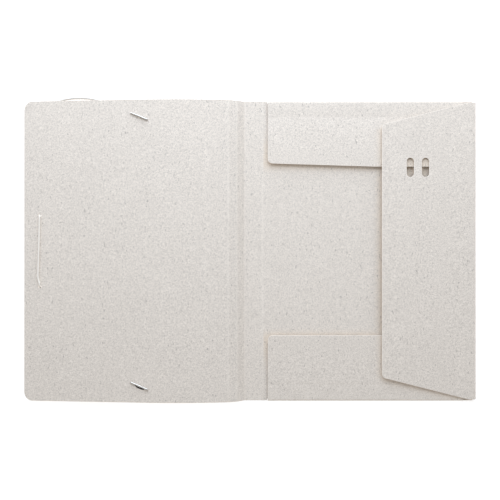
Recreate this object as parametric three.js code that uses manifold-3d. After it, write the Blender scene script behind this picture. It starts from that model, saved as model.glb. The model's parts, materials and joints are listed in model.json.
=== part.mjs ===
// A three-flap A4 document folder lying open on a table, inner side up.
// Millimetres, +Z up. The origin is the centre of the open folder's footprint, on the table.
// The front cover lies to -X, the back cover with its three flaps to +X.

import * as THREE from 'three';
import { mergeVertices } from 'three/addons/utils/BufferGeometryUtils.js';
import Module from 'manifold-3d';

const wasm = await Module();
wasm.setup();

// Sheet and covers
const sheet = 0.8;
const coverHeight = 315;
const coverCorner = 9;
const spineWidth = 19;
const backWidth = 221.3;

// Hinge creases between flat panels
const creaseSetback = 0.8;
const creaseHalfWidth = 0.45;
const creaseThickness = 0.4;

// Two relief strips beside the spine, and how steeply each panel stands at rest, in degrees
const stripWidth = 9.6;
const innerStripAngle = 36;
const outerStripAngle = 21;
const coverStartAngle = 7;
const coverEndAngle = -4.6;
const crownRadius = 450;
const coverStraight = 124.8;

// Top and bottom flaps
const flapFoldRadius = 1.8;
const flapTilt = 0.8;
const flapInset = 5.45;
const flapEndInset = 10.85;
const flapDepth = 66.6;
const topFlapLeftDepth = 63.2;
const flapShoulder = 112;
const flapTaper = 29.9;
const flapCorner = 5;
const flapScoreInset = 15.5;

// Side flap
const sideFoldRadius = 2.7;
const sideTilt = 1.5;
const sideDepth = 96.75;
const sideRootMargin = 1.9;
const sideShoulder = 5;
const sideTaper = 23.5;
const sideScoreInset = 6;

// Two upright slots in the side flap
const slotWidth = 7.7;
const slotLength = 20.2;
const slotPitch = 16;
const firstSlotInset = 29.7;
const slotTopInset = 44.7;

// Score lines pressed into the flaps
const scoreWidth = 1;
const scoreDepth = 0.25;

// Clearances
const touchGap = 0.3;
const rootSetback = 0.2;
const reliefNotch = 0.5;
const foldStartGap = 5;
const tableGap = 0.2;

// Elastic cord, its holes in the front cover and its metal end barbs
const elasticDiameter = 1.8;
const elasticBend = 3.8;
const underTail = 6;
const approachReach = 12;
const upperApproach = -23;
const lowerApproach = -18;
const sideHoleDiameter = 4.4;
const sideHoleInset = 17.1;
const sideHoleOffset = 37.6;
const barbHoleDiameter = 4;
const barbHoleInset = 123.2;
const barbHoleMargin = 17.7;
const barbLength = 20.3;
const barbDiameter = 1.7;
const barbTurn = -22.4;
const crimpDiameter = 2.1;
const crimpLength = 4.4;
const stemDrop = 1.2;

// Plan of the elastic on the inner face, as [x from the side holes, y from the middle]
const innerWay = [[-0.4, 20], [-0.9, 0], [-1.5, -20], [-1.6, -28]];

// Plan of each loop under the cover, as [x, y away from the middle] from its side hole
const upperWay = [
  [0.1, 13.4], [0.6, 32.4], [0.4, 57.4], [0.2, 80.4], [1.5, 98], [6.8, 111.2], [17.8, 119.4],
  [31.3, 122.7], [41.8, 123.2], [51.8, 122.6], [63.3, 120.3], [74.3, 116.2], [85.3, 111.4],
];
const lowerWay = [
  [0.1, 13.4], [0.6, 32.4], [0.6, 55.4], [1.6, 77.4], [6, 95.4], [16, 107.4],
  [30.8, 113.4], [47.8, 115], [64.8, 113.4], [80.8, 110.2],
];

// Faceting
const arcSteps = 10;
const bendSteps = 3;
const stemSteps = 4;
const tipSteps = 3;
const holeSides = 24;
const barbSides = 12;
const elasticSides = 8;
const elasticStep = 3.6;
const curveSegments = 6;
const cutterReach = 4;
const weldDistance = 1e-4;

const radians = THREE.MathUtils.degToRad;
const halfHeight = coverHeight / 2;
const sideRootHeight = coverHeight - 2 * sideRootMargin;
const sideTipHeight = sideRootHeight - 2 * sideTaper;

// Rest shape of the chain from the spine crease to the free edge of the front cover
const crownTurn = radians(coverStartAngle - coverEndAngle);
const stripReach = stripWidth * (Math.cos(radians(innerStripAngle)) + Math.cos(radians(outerStripAngle)));
const stripRise = stripWidth * (Math.sin(radians(innerStripAngle)) + Math.sin(radians(outerStripAngle)));
const crownReach = crownRadius * (Math.sin(radians(coverStartAngle)) - Math.sin(radians(coverEndAngle)));
const crownRise = crownRadius * (Math.cos(radians(coverEndAngle)) - Math.cos(radians(coverStartAngle)));
const straightReach = coverStraight * Math.cos(radians(coverEndAngle));
const straightFall = coverStraight * Math.sin(radians(-coverEndAngle));
const frontReach = spineWidth + stripReach + crownReach + straightReach;
const backReach = backWidth + sideFoldRadius;

// Places along X and Y, with the whole footprint centred
const spineCreaseX = (frontReach - backReach) / 2;
const sideAxisX = spineCreaseX + backWidth;
const freeEdgeX = spineCreaseX - frontReach;
const freeEdgeTop = sheet + stripRise + crownRise - straightFall;
const flapAxisY = halfHeight - flapFoldRadius;
const flapLeft = spineCreaseX + flapInset;
const flapWidth = backWidth - flapInset - flapEndInset;
const flapRight = flapLeft + flapWidth;

const paper = () => new THREE.MeshStandardMaterial({ color: 0xdcd8d3, roughness: 0.7, metalness: 0 });
const cordMaterial = () => new THREE.MeshStandardMaterial({ color: 0xd9d7d3, roughness: 0.85, metalness: 0 });
const steel = () => new THREE.MeshStandardMaterial({ color: 0xc9c7c2, roughness: 0.3, metalness: 0.9 });

// Boolean helpers on closed geometries
function toSolid(geometry) {
  const bare = geometry.index ? geometry.toNonIndexed() : geometry.clone();
  bare.deleteAttribute('normal');
  bare.deleteAttribute('uv');
  const merged = mergeVertices(bare, weldDistance);
  return new wasm.Manifold(new wasm.Mesh({
    numProp: 3,
    vertProperties: new Float32Array(merged.attributes.position.array),
    triVerts: new Uint32Array(merged.index.array),
  }));
}

function toGeometry(solid) {
  const mesh = solid.getMesh();
  const geometry = new THREE.BufferGeometry();
  geometry.setAttribute('position', new THREE.BufferAttribute(new Float32Array(mesh.vertProperties), 3));
  geometry.setIndex(new THREE.BufferAttribute(new Uint32Array(mesh.triVerts), 1));
  geometry.computeVertexNormals();
  return geometry;
}

function cut(geometry, cutters) {
  let solid = toSolid(geometry);
  for (const cutter of cutters) solid = solid.subtract(toSolid(cutter));
  return toGeometry(solid);
}

function common(geometry, other) {
  return toGeometry(toSolid(geometry).intersect(toSolid(other)));
}

function join(geometries) {
  let solid = toSolid(geometries[0]);
  for (const other of geometries.slice(1)) solid = solid.add(toSolid(other));
  return toGeometry(solid);
}

// Outline whose corners are [x, y, radius]
function roundedShape(corners) {
  const shape = new THREE.Shape();
  corners.forEach(([x, y, radius], i) => {
    const corner = new THREE.Vector2(x, y);
    const before = new THREE.Vector2(...corners.at(i - 1).slice(0, 2));
    const after = new THREE.Vector2(...corners[(i + 1) % corners.length].slice(0, 2));
    const back = before.sub(corner).normalize();
    const ahead = after.sub(corner).normalize();
    const reach = radius / Math.tan(back.angleTo(ahead) / 2);
    const start = corner.clone().addScaledVector(back, reach);
    const end = corner.clone().addScaledVector(ahead, reach);
    if (i === 0) shape.moveTo(start.x, start.y);
    else shape.lineTo(start.x, start.y);
    if (radius > 0) shape.quadraticCurveTo(x, y, end.x, end.y);
  });
  shape.closePath();
  return shape;
}

// Plan outline raised from low to high
function prism(shape, low, high) {
  const settings = { depth: high - low, bevelEnabled: false, curveSegments };
  return new THREE.ExtrudeGeometry(shape, settings).translate(0, 0, low);
}

// Section in X and Z, run along Y for a length about the middle
function alongY(shape, length) {
  const settings = { depth: length, bevelEnabled: false, curveSegments };
  return new THREE.ExtrudeGeometry(shape, settings).rotateX(Math.PI / 2).translate(0, length / 2, 0);
}

// Section in Y and Z, run along X from start to end
function alongX(shape, start, end) {
  const turn = new THREE.Matrix4().makeBasis(
    new THREE.Vector3(0, 1, 0),
    new THREE.Vector3(0, 0, 1),
    new THREE.Vector3(1, 0, 0),
  );
  const settings = { depth: end - start, bevelEnabled: false, curveSegments };
  return new THREE.ExtrudeGeometry(shape, settings).applyMatrix4(turn).translate(start, 0, 0);
}

function block(lowX, highX, lowY, highY, lowZ, highZ) {
  const box = new THREE.BoxGeometry(highX - lowX, highY - lowY, highZ - lowZ);
  return box.translate((lowX + highX) / 2, (lowY + highY) / 2, (lowZ + highZ) / 2);
}

function named(name, geometry, material) {
  const mesh = new THREE.Mesh(geometry, material);
  mesh.name = name;
  return mesh;
}

// A group at a hinge line, turned by its rest angle
function hinge(parent, x, y, z, turnX, turnY) {
  const group = new THREE.Group();
  group.position.set(x, y, z);
  group.rotation.set(turnX, turnY, 0);
  parent.add(group);
  return group;
}

// Thin living hinge in the gap between two flat panels, at half the angle between them
function crease(name, parent, x, z, turn) {
  const line = hinge(parent, x, 0, z, 0, turn / 2);
  const middle = -sheet / 2;
  const plate = block(
    -creaseHalfWidth, creaseHalfWidth, -halfHeight, halfHeight,
    middle - creaseThickness / 2, middle + creaseThickness / 2,
  );
  line.add(named(name, plate, paper()));
}

// Rolled fold: part of a ring round the hinge axis, on the side that outward points to
function rollShape(radius, tilt, outward) {
  const from = -90 + foldStartGap;
  const to = 90 - tilt - foldStartGap;
  const ring = [];
  for (let i = 0; i <= arcSteps; i += 1) {
    const angle = radians(from + ((to - from) * i) / arcSteps);
    ring.push(new THREE.Vector2(outward * radius * Math.cos(angle), radius * Math.sin(angle)));
  }
  for (let i = arcSteps; i >= 0; i -= 1) {
    const angle = radians(from + ((to - from) * i) / arcSteps);
    const inner = radius - sheet;
    ring.push(new THREE.Vector2(outward * inner * Math.cos(angle), inner * Math.sin(angle)));
  }
  return new THREE.Shape(ring);
}

function backCover() {
  const left = spineCreaseX + creaseSetback;
  const notchLeft = flapLeft - reliefNotch;
  const notchRight = flapRight + reliefNotch;
  const notchEnd = flapAxisY - rootSetback;
  const right = sideAxisX - rootSetback;
  const corners = [
    [left, -halfHeight], [notchLeft, -halfHeight], [notchLeft, -notchEnd], [notchRight, -notchEnd],
    [notchRight, -halfHeight], [right, -halfHeight], [right, halfHeight], [notchRight, halfHeight],
    [notchRight, notchEnd], [notchLeft, notchEnd], [notchLeft, halfHeight], [left, halfHeight],
  ];
  return prism(roundedShape(corners.map(([x, y]) => [x, y, 0])), 0, sheet);
}

// Flat strip between two creases, hanging from its hinge line at its top face
function strip(width) {
  return block(-width + creaseSetback, -creaseSetback, -halfHeight, halfHeight, -sheet, 0);
}

function frontCover() {
  const start = creaseSetback / crownRadius;
  const section = new THREE.Shape();
  const centre = -crownRadius;
  const under = crownRadius - sheet;
  const edge = (radius, angle, along) => [
    -radius * Math.sin(angle) - along * Math.cos(angle),
    centre + radius * Math.cos(angle) - along * Math.sin(angle),
  ];
  section.moveTo(...edge(crownRadius, start, 0));
  for (let i = 1; i <= arcSteps; i += 1) {
    section.lineTo(...edge(crownRadius, start + ((crownTurn - start) * i) / arcSteps, 0));
  }
  section.lineTo(...edge(crownRadius, crownTurn, coverStraight));
  section.lineTo(...edge(under, crownTurn, coverStraight));
  for (let i = arcSteps; i >= 0; i -= 1) {
    section.lineTo(...edge(under, start + ((crownTurn - start) * i) / arcSteps, 0));
  }
  const slab = alongY(section, coverHeight);
  const far = edge(crownRadius, crownTurn, coverStraight)[0];
  const outline = roundedShape([
    [far, -halfHeight, coverCorner], [0, -halfHeight, 0], [0, halfHeight, 0], [far, halfHeight, coverCorner],
  ]);
  const trimmed = common(slab, prism(outline, -coverStraight, coverStraight));
  const holes = [];
  for (const side of [1, -1]) {
    holes.push(coverHole(sideHoleDiameter, sideHoleInset, side * sideHoleOffset));
    holes.push(coverHole(barbHoleDiameter, barbHoleInset, side * (halfHeight - barbHoleMargin)));
  }
  return cut(trimmed, holes);
}

// Round hole, its place measured along the cover from the free edge
function coverHole(diameter, inset, y) {
  const drill = new THREE.CylinderGeometry(diameter / 2, diameter / 2, 2 * cutterReach, holeSides);
  drill.rotateX(Math.PI / 2).rotateY(-crownTurn);
  const along = coverStraight - inset;
  const x = -crownRadius * Math.sin(crownTurn) - along * Math.cos(crownTurn);
  const z = crownRadius * (Math.cos(crownTurn) - 1) - along * Math.sin(crownTurn);
  return drill.translate(x, y, z);
}

// Top flap with outward 1, bottom flap with outward -1
function endFlap(outward, leftDepth) {
  const at = (x, reach, radius) => [x, -outward * reach, radius];
  const outline = roundedShape([
    at(flapLeft, rootSetback, 0),
    at(flapLeft, leftDepth, flapCorner),
    at(flapLeft + flapShoulder, flapDepth, 0),
    at(flapRight - flapTaper, flapDepth, flapCorner),
    at(flapRight, rootSetback, 0),
  ]);
  const panel = prism(outline, flapFoldRadius - sheet, flapFoldRadius);
  const scoreY = -outward * flapScoreInset;
  const score = block(
    flapLeft - cutterReach, flapRight + cutterReach, scoreY - scoreWidth / 2, scoreY + scoreWidth / 2,
    flapFoldRadius - scoreDepth, flapFoldRadius + cutterReach,
  );
  return cut(panel, [score]);
}

function sideFlap() {
  const outline = roundedShape([
    [-rootSetback, -sideRootHeight / 2, 0], [-rootSetback, sideRootHeight / 2, 0],
    [-sideShoulder, sideRootHeight / 2, 0], [-sideDepth, sideTipHeight / 2, flapCorner],
    [-sideDepth, -sideTipHeight / 2, flapCorner], [-sideShoulder, -sideRootHeight / 2, 0],
  ]);
  const panel = prism(outline, sideFoldRadius - sheet, sideFoldRadius);
  const cutters = [block(
    -sideScoreInset - scoreWidth / 2, -sideScoreInset + scoreWidth / 2, -halfHeight, halfHeight,
    sideFoldRadius - scoreDepth, sideFoldRadius + cutterReach,
  )];
  for (const i of [0, 1]) {
    const x = -sideDepth + firstSlotInset + i * slotPitch;
    const pill = roundedSlot(x, sideTipHeight / 2 - slotTopInset);
    cutters.push(prism(pill, sideFoldRadius - cutterReach, sideFoldRadius + cutterReach));
  }
  return cut(panel, cutters);
}

function roundedSlot(x, y) {
  const radius = slotWidth / 2;
  const straight = slotLength / 2 - radius;
  const shape = new THREE.Shape();
  shape.moveTo(x + radius, y - straight);
  shape.lineTo(x + radius, y + straight);
  shape.absarc(x, y + straight, radius, 0, Math.PI, false);
  shape.lineTo(x - radius, y - straight);
  shape.absarc(x, y - straight, radius, Math.PI, 2 * Math.PI, false);
  return shape;
}

// Metal barb lying across its hole: a bar with a crimped middle and a stem down to the elastic
function barb() {
  const radius = barbDiameter / 2;
  const half = barbLength / 2;
  const profile = [];
  for (let i = 0; i <= tipSteps; i += 1) {
    const angle = (Math.PI * i) / (2 * tipSteps);
    profile.push(new THREE.Vector2(radius * Math.sin(angle), radius * (1 - Math.cos(angle)) - half));
  }
  for (let i = tipSteps; i >= 0; i -= 1) {
    const angle = (Math.PI * i) / (2 * tipSteps);
    profile.push(new THREE.Vector2(radius * Math.sin(angle), half - radius * (1 - Math.cos(angle))));
  }
  const seat = touchGap + radius;
  const bar = new THREE.LatheGeometry(profile, barbSides).rotateZ(Math.PI / 2).translate(0, 0, seat);
  const wide = crimpDiameter / 2;
  const crimp = new THREE.CylinderGeometry(wide, wide, crimpLength, barbSides);
  crimp.rotateZ(Math.PI / 2).translate(0, 0, seat);
  const stemLength = seat + stemDrop;
  const stem = new THREE.CylinderGeometry(wide, wide, stemLength, barbSides);
  stem.rotateX(Math.PI / 2).translate(0, 0, seat - stemLength / 2);
  return join([bar, crimp, stem]);
}

// Round cord through points
function cord(points) {
  const path = new THREE.CatmullRomCurve3(points.map((p) => new THREE.Vector3(...p)), false, 'centripetal');
  const ring = [];
  for (let i = 0; i < elasticSides; i += 1) {
    const angle = (2 * Math.PI * i) / elasticSides;
    ring.push(new THREE.Vector2(Math.cos(angle), Math.sin(angle)).multiplyScalar(elasticDiameter / 2));
  }
  const settings = {
    steps: Math.ceil(path.getLength() / elasticStep),
    extrudePath: path,
    bevelEnabled: false,
  };
  return new THREE.ExtrudeGeometry(new THREE.Shape(ring), settings);
}

// Heights and places where the elastic runs
const sideHoleX = freeEdgeX + sideHoleInset * Math.cos(radians(coverEndAngle));
const sideHoleTop = freeEdgeTop + sideHoleInset * Math.sin(radians(-coverEndAngle));
const runHeight = sideHoleTop + touchGap + elasticDiameter / 2;
const underHeight = sideHoleTop - sheet - touchGap - elasticDiameter / 2;
const tableHeight = elasticDiameter / 2 + tableGap;
const barbHoleX = freeEdgeX + barbHoleInset * Math.cos(radians(coverEndAngle));
const barbHoleTop = freeEdgeTop + barbHoleInset * Math.sin(radians(-coverEndAngle));
const barbHoleY = halfHeight - barbHoleMargin;
const stemEnd = barbHoleTop - stemDrop - touchGap;

// Points of an S through a side hole, heading towards side, from the inner face to the outer face
function throughHole(side) {
  const middle = (runHeight + underHeight) / 2;
  const half = (runHeight - underHeight) / 2;
  const turn = Math.acos(1 - half / elasticBend);
  const reach = elasticBend * Math.sin(turn);
  const points = [];
  for (let i = 0; i <= bendSteps; i += 1) {
    const drop = elasticBend * (1 - Math.cos((turn * i) / bendSteps));
    const out = elasticBend * Math.sin((turn * i) / bendSteps);
    points.push([sideHoleX, side * (sideHoleOffset - reach + out), middle + half - drop]);
  }
  for (let i = bendSteps - 1; i >= 0; i -= 1) {
    const drop = elasticBend * (1 - Math.cos((turn * i) / bendSteps));
    const out = elasticBend * Math.sin((turn * i) / bendSteps);
    points.push([sideHoleX, side * (sideHoleOffset + reach - out), middle - half + drop]);
  }
  return points;
}

// Points of the quarter bend up into a barb's stem, for a cord that arrives at an angle in plan
function upToStem(side, approach) {
  const top = stemEnd - elasticDiameter;
  const points = [];
  for (let i = stemSteps; i >= 0; i -= 1) {
    const angle = (Math.PI * i) / (2 * stemSteps);
    const away = elasticBend * (1 - Math.cos(angle));
    points.push(beforeStem(side, approach, away, top - elasticBend * Math.sin(angle)));
  }
  points.push(beforeStem(side, approach, 0, stemEnd));
  return points;
}

// Point at a height, a reach before a barb's stem along the cord's approach
function beforeStem(side, approach, reach, height) {
  const x = barbHoleX - reach * Math.cos(radians(approach));
  const y = barbHoleY - reach * Math.sin(radians(approach));
  return [x, side * y, height];
}

// The stretch on the inner face, with both its ends under the cover
function innerRun() {
  const tail = sideHoleOffset + underTail - 2 * touchGap;
  return cord([
    [sideHoleX, tail, underHeight],
    ...throughHole(1).reverse(),
    ...innerWay.map(([x, y]) => [sideHoleX + x, y, runHeight]),
    ...throughHole(-1),
    [sideHoleX, -tail, underHeight],
  ]);
}

// A loop under the cover, from its side hole over the table and up to its barb
function loop(side, way, approach) {
  const [first, ...rest] = way.map(([x, y]) => [sideHoleX + x, side * (sideHoleOffset + y)]);
  return cord([
    [sideHoleX, side * (sideHoleOffset + underTail), underHeight],
    [...first, (underHeight + tableHeight) / 2],
    ...rest.map((place) => [...place, tableHeight]),
    beforeStem(side, approach, approachReach, tableHeight + touchGap),
    ...upToStem(side, approach),
  ]);
}

const folder = new THREE.Group();

folder.add(named('back_cover', backCover(), paper()));
crease('spine_back_crease', folder, spineCreaseX, sheet, 0);

const spine = hinge(folder, spineCreaseX, 0, sheet, 0, 0);
spine.add(named('spine', strip(spineWidth), paper()));
crease('spine_cover_crease', spine, -spineWidth, 0, radians(innerStripAngle));

const innerStrip = hinge(spine, -spineWidth, 0, 0, 0, radians(innerStripAngle));
innerStrip.add(named('relief_strip_inner', strip(stripWidth), paper()));
const middleTurn = radians(outerStripAngle - innerStripAngle);
crease('relief_middle_crease', innerStrip, -stripWidth, 0, middleTurn);

const outerStrip = hinge(innerStrip, -stripWidth, 0, 0, 0, middleTurn);
outerStrip.add(named('relief_strip_outer', strip(stripWidth), paper()));
const coverTurn = radians(coverStartAngle - outerStripAngle);
crease('relief_cover_crease', outerStrip, -stripWidth, 0, coverTurn);

const cover = hinge(outerStrip, -stripWidth, 0, 0, 0, coverTurn);
cover.add(named('front_cover', frontCover(), paper()));

const topAxis = hinge(folder, 0, flapAxisY, flapFoldRadius, 0, 0);
topAxis.add(named('top_fold', alongX(rollShape(flapFoldRadius, flapTilt, 1), flapLeft, flapRight), paper()));
const topFlap = hinge(topAxis, 0, 0, 0, radians(-flapTilt), 0);
topFlap.add(named('top_flap', endFlap(1, topFlapLeftDepth), paper()));

const bottomAxis = hinge(folder, 0, -flapAxisY, flapFoldRadius, 0, 0);
const bottomRoll = rollShape(flapFoldRadius, flapTilt, -1);
bottomAxis.add(named('bottom_fold', alongX(bottomRoll, flapLeft, flapRight), paper()));
const bottomFlap = hinge(bottomAxis, 0, 0, 0, radians(flapTilt), 0);
bottomFlap.add(named('bottom_flap', endFlap(-1, flapDepth), paper()));

const sideAxis = hinge(folder, sideAxisX, 0, sideFoldRadius, 0, 0);
sideAxis.add(named('side_fold', alongY(rollShape(sideFoldRadius, sideTilt, 1), sideRootHeight), paper()));
const sideFlapGroup = hinge(sideAxis, 0, 0, 0, 0, radians(sideTilt));
sideFlapGroup.add(named('side_flap', sideFlap(), paper()));

for (const [name, side] of [['upper_barb', 1], ['lower_barb', -1]]) {
  const seat = hinge(folder, barbHoleX, side * barbHoleY, barbHoleTop, 0, radians(coverEndAngle));
  const mesh = named(name, barb(), steel());
  mesh.rotation.z = radians(barbTurn);
  seat.add(mesh);
}

folder.add(named('elastic_inner_run', innerRun(), cordMaterial()));
folder.add(named('elastic_upper_loop', loop(1, upperWay, upperApproach), cordMaterial()));
folder.add(named('elastic_lower_loop', loop(-1, lowerWay, lowerApproach), cordMaterial()));

export default folder;
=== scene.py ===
"""An A4 document folder lying open.

It is one creased sheet with three inner flaps, held shut by an elastic cord that two metal barbs anchor.
"""

import json
import math

import bmesh
import bpy
from bpy.props import FloatProperty, FloatVectorProperty, IntProperty, PointerProperty
from mathutils import Matrix, Vector
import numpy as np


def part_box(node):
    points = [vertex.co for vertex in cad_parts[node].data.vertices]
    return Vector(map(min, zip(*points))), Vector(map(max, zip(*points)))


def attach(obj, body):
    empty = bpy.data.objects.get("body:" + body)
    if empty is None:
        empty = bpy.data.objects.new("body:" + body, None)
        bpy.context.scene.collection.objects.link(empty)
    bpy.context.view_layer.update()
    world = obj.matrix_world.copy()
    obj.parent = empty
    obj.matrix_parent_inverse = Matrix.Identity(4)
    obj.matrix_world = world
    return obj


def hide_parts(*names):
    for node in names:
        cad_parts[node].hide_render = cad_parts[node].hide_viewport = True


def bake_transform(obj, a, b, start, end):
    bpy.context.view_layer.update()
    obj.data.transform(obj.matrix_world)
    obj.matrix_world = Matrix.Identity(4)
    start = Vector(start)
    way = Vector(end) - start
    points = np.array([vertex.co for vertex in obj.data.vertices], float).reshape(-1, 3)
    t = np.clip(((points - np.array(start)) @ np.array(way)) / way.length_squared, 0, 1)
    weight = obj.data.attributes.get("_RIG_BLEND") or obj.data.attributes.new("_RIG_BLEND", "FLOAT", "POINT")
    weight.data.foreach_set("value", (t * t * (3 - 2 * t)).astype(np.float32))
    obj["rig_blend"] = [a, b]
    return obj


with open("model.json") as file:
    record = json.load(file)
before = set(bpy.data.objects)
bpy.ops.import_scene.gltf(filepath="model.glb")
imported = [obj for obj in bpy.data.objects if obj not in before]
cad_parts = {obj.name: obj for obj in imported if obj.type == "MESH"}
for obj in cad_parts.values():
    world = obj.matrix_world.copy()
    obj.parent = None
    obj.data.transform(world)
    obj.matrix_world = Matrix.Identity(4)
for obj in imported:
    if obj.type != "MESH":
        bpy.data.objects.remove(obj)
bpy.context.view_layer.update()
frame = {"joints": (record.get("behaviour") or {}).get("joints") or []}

bl_info = {
    "name": "Document folder",
    "version": (1, 0, 0),
    "blender": (4, 5, 0),
    "location": "View3D > Sidebar > Folder",
    "description": "Builds an open document folder with inner flaps and an elastic closure",
    "category": "Add Mesh",
}

MM = 0.001
UP = Vector((0, 0, 1))


def hinge(joint_name):
    """Where a joint's hinge line lies at rest."""
    joint = next(j for j in frame["joints"] if j["name"] == joint_name)
    return Vector(joint["pos_m"])


def slope_between(right, left):
    """How steeply a strip rises from its right hinge line to its left one."""
    return math.atan2(left.z - right.z, right.x - left.x)


SPINE_CREASE = hinge("spine_fold")
COVER_CREASE = hinge("cover_fold")
MIDDLE_CREASE = hinge("relief_middle_fold")
CROWN_CREASE = hinge("relief_cover_fold")
SIDE_AXIS = hinge("side_flap_fold")
TOP_AXIS = hinge("top_flap_fold")
BOTTOM_AXIS = hinge("bottom_flap_fold")
HALF_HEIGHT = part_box("back_cover")[1].y
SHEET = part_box("back_cover")[1].z
CREASE_SETBACK = SPINE_CREASE.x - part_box("spine")[1].x
ROOT_SETBACK = SIDE_AXIS.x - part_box("back_cover")[1].x
FLAP_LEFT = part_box("top_fold")[0].x
FLAP_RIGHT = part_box("top_fold")[1].x
SIDE_ROOT_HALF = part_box("side_fold")[1].y


# Settings


class FolderBoard(bpy.types.PropertyGroup):
    """The sheet that the folder is cut from."""

    edge_round: FloatProperty(
        name="Edge round", description="Radius of the die-cut edges",
        default=0.14 * MM, min=0, subtype="DISTANCE", unit="LENGTH", precision=5,
    )
    # The pale rim is the pressed cut edge; on the flaps, where it is drawn stronger, it is painted highlight
    # as well
    rim: FloatProperty(
        name="Rim", description="Width of the pale pressed band along each cut edge",
        default=0.55 * MM, min=0, subtype="DISTANCE", unit="LENGTH", precision=5,
    )
    mesh_step: FloatProperty(
        name="Mesh step", description="Spacing of the lines that divide each panel",
        default=7 * MM, min=0.001, subtype="DISTANCE", unit="LENGTH", precision=4,
    )
    crown_radius: FloatProperty(
        name="Crown radius", description="Radius of the bow beside the front cover's crease",
        default=450 * MM, min=0, subtype="DISTANCE", unit="LENGTH", precision=4,
    )
    cover_straight: FloatProperty(
        name="Straight length", description="Flat length of the front cover beyond its bow",
        default=124.8 * MM, min=0, subtype="DISTANCE", unit="LENGTH", precision=4,
    )
    cover_start: FloatProperty(
        name="Start angle", description="How steeply the front cover leaves its crease",
        default=math.radians(7), subtype="ANGLE", unit="ROTATION",
    )
    cover_end: FloatProperty(
        name="End angle", description="How the flat part of the front cover slopes, down to its free edge",
        default=math.radians(-4.6), subtype="ANGLE", unit="ROTATION",
    )
    cover_corner: FloatProperty(
        name="Cover corner", description="Radius of the front cover's free corners",
        default=9 * MM, min=0, subtype="DISTANCE", unit="LENGTH", precision=4,
    )
    colour: FloatVectorProperty(
        name="Colour", description="Body colour of the sheet",
        default=(0.775, 0.705, 0.630), min=0, max=1, subtype="COLOR",
    )
    fleck_colour: FloatVectorProperty(
        name="Fleck colour", description="Colour of the fine fibres in the sheet",
        default=(0.36, 0.33, 0.30), min=0, max=1, subtype="COLOR",
    )
    # Painted shade: the warm colour is laid under the flaps' edges and round the slots, where their shade
    # falls, and it is also the real tone of the sheet's reverse; the three settings after it shape the
    # painted shade
    warm_shade_and_reverse_colour: FloatVectorProperty(
        name="Warm colour", description="Tone of the sheet under a flap's edge, and of its reverse",
        default=(0.86, 0.70, 0.53), min=0, max=1, subtype="COLOR",
    )
    painted_shade_fade: FloatProperty(
        name="Shelter fade", description="How far the warm tone fades out beyond the edge of a flap",
        default=9 * MM, min=0, subtype="DISTANCE", unit="LENGTH", precision=4,
    )
    painted_shade_reach: FloatProperty(
        name="Shelter reach", description="How far under a flap's edge the warm tone fades out",
        default=45 * MM, min=0, subtype="DISTANCE", unit="LENGTH", precision=4,
    )
    painted_shade_strength: FloatProperty(
        name="Shelter tone", description="Strength of the warm tone under the flaps' edges and slots",
        default=0.4, min=0, max=1, subtype="FACTOR",
    )
    # The rim colour is the pale of the cut edges and of the light fibre flecks, and on the flaps' edges
    # painted highlight too
    rim_colour: FloatVectorProperty(
        name="Rim colour", description="Colour of the cut and pressed edges",
        default=(0.97, 0.89, 0.80), min=0, max=1, subtype="COLOR",
    )


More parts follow.
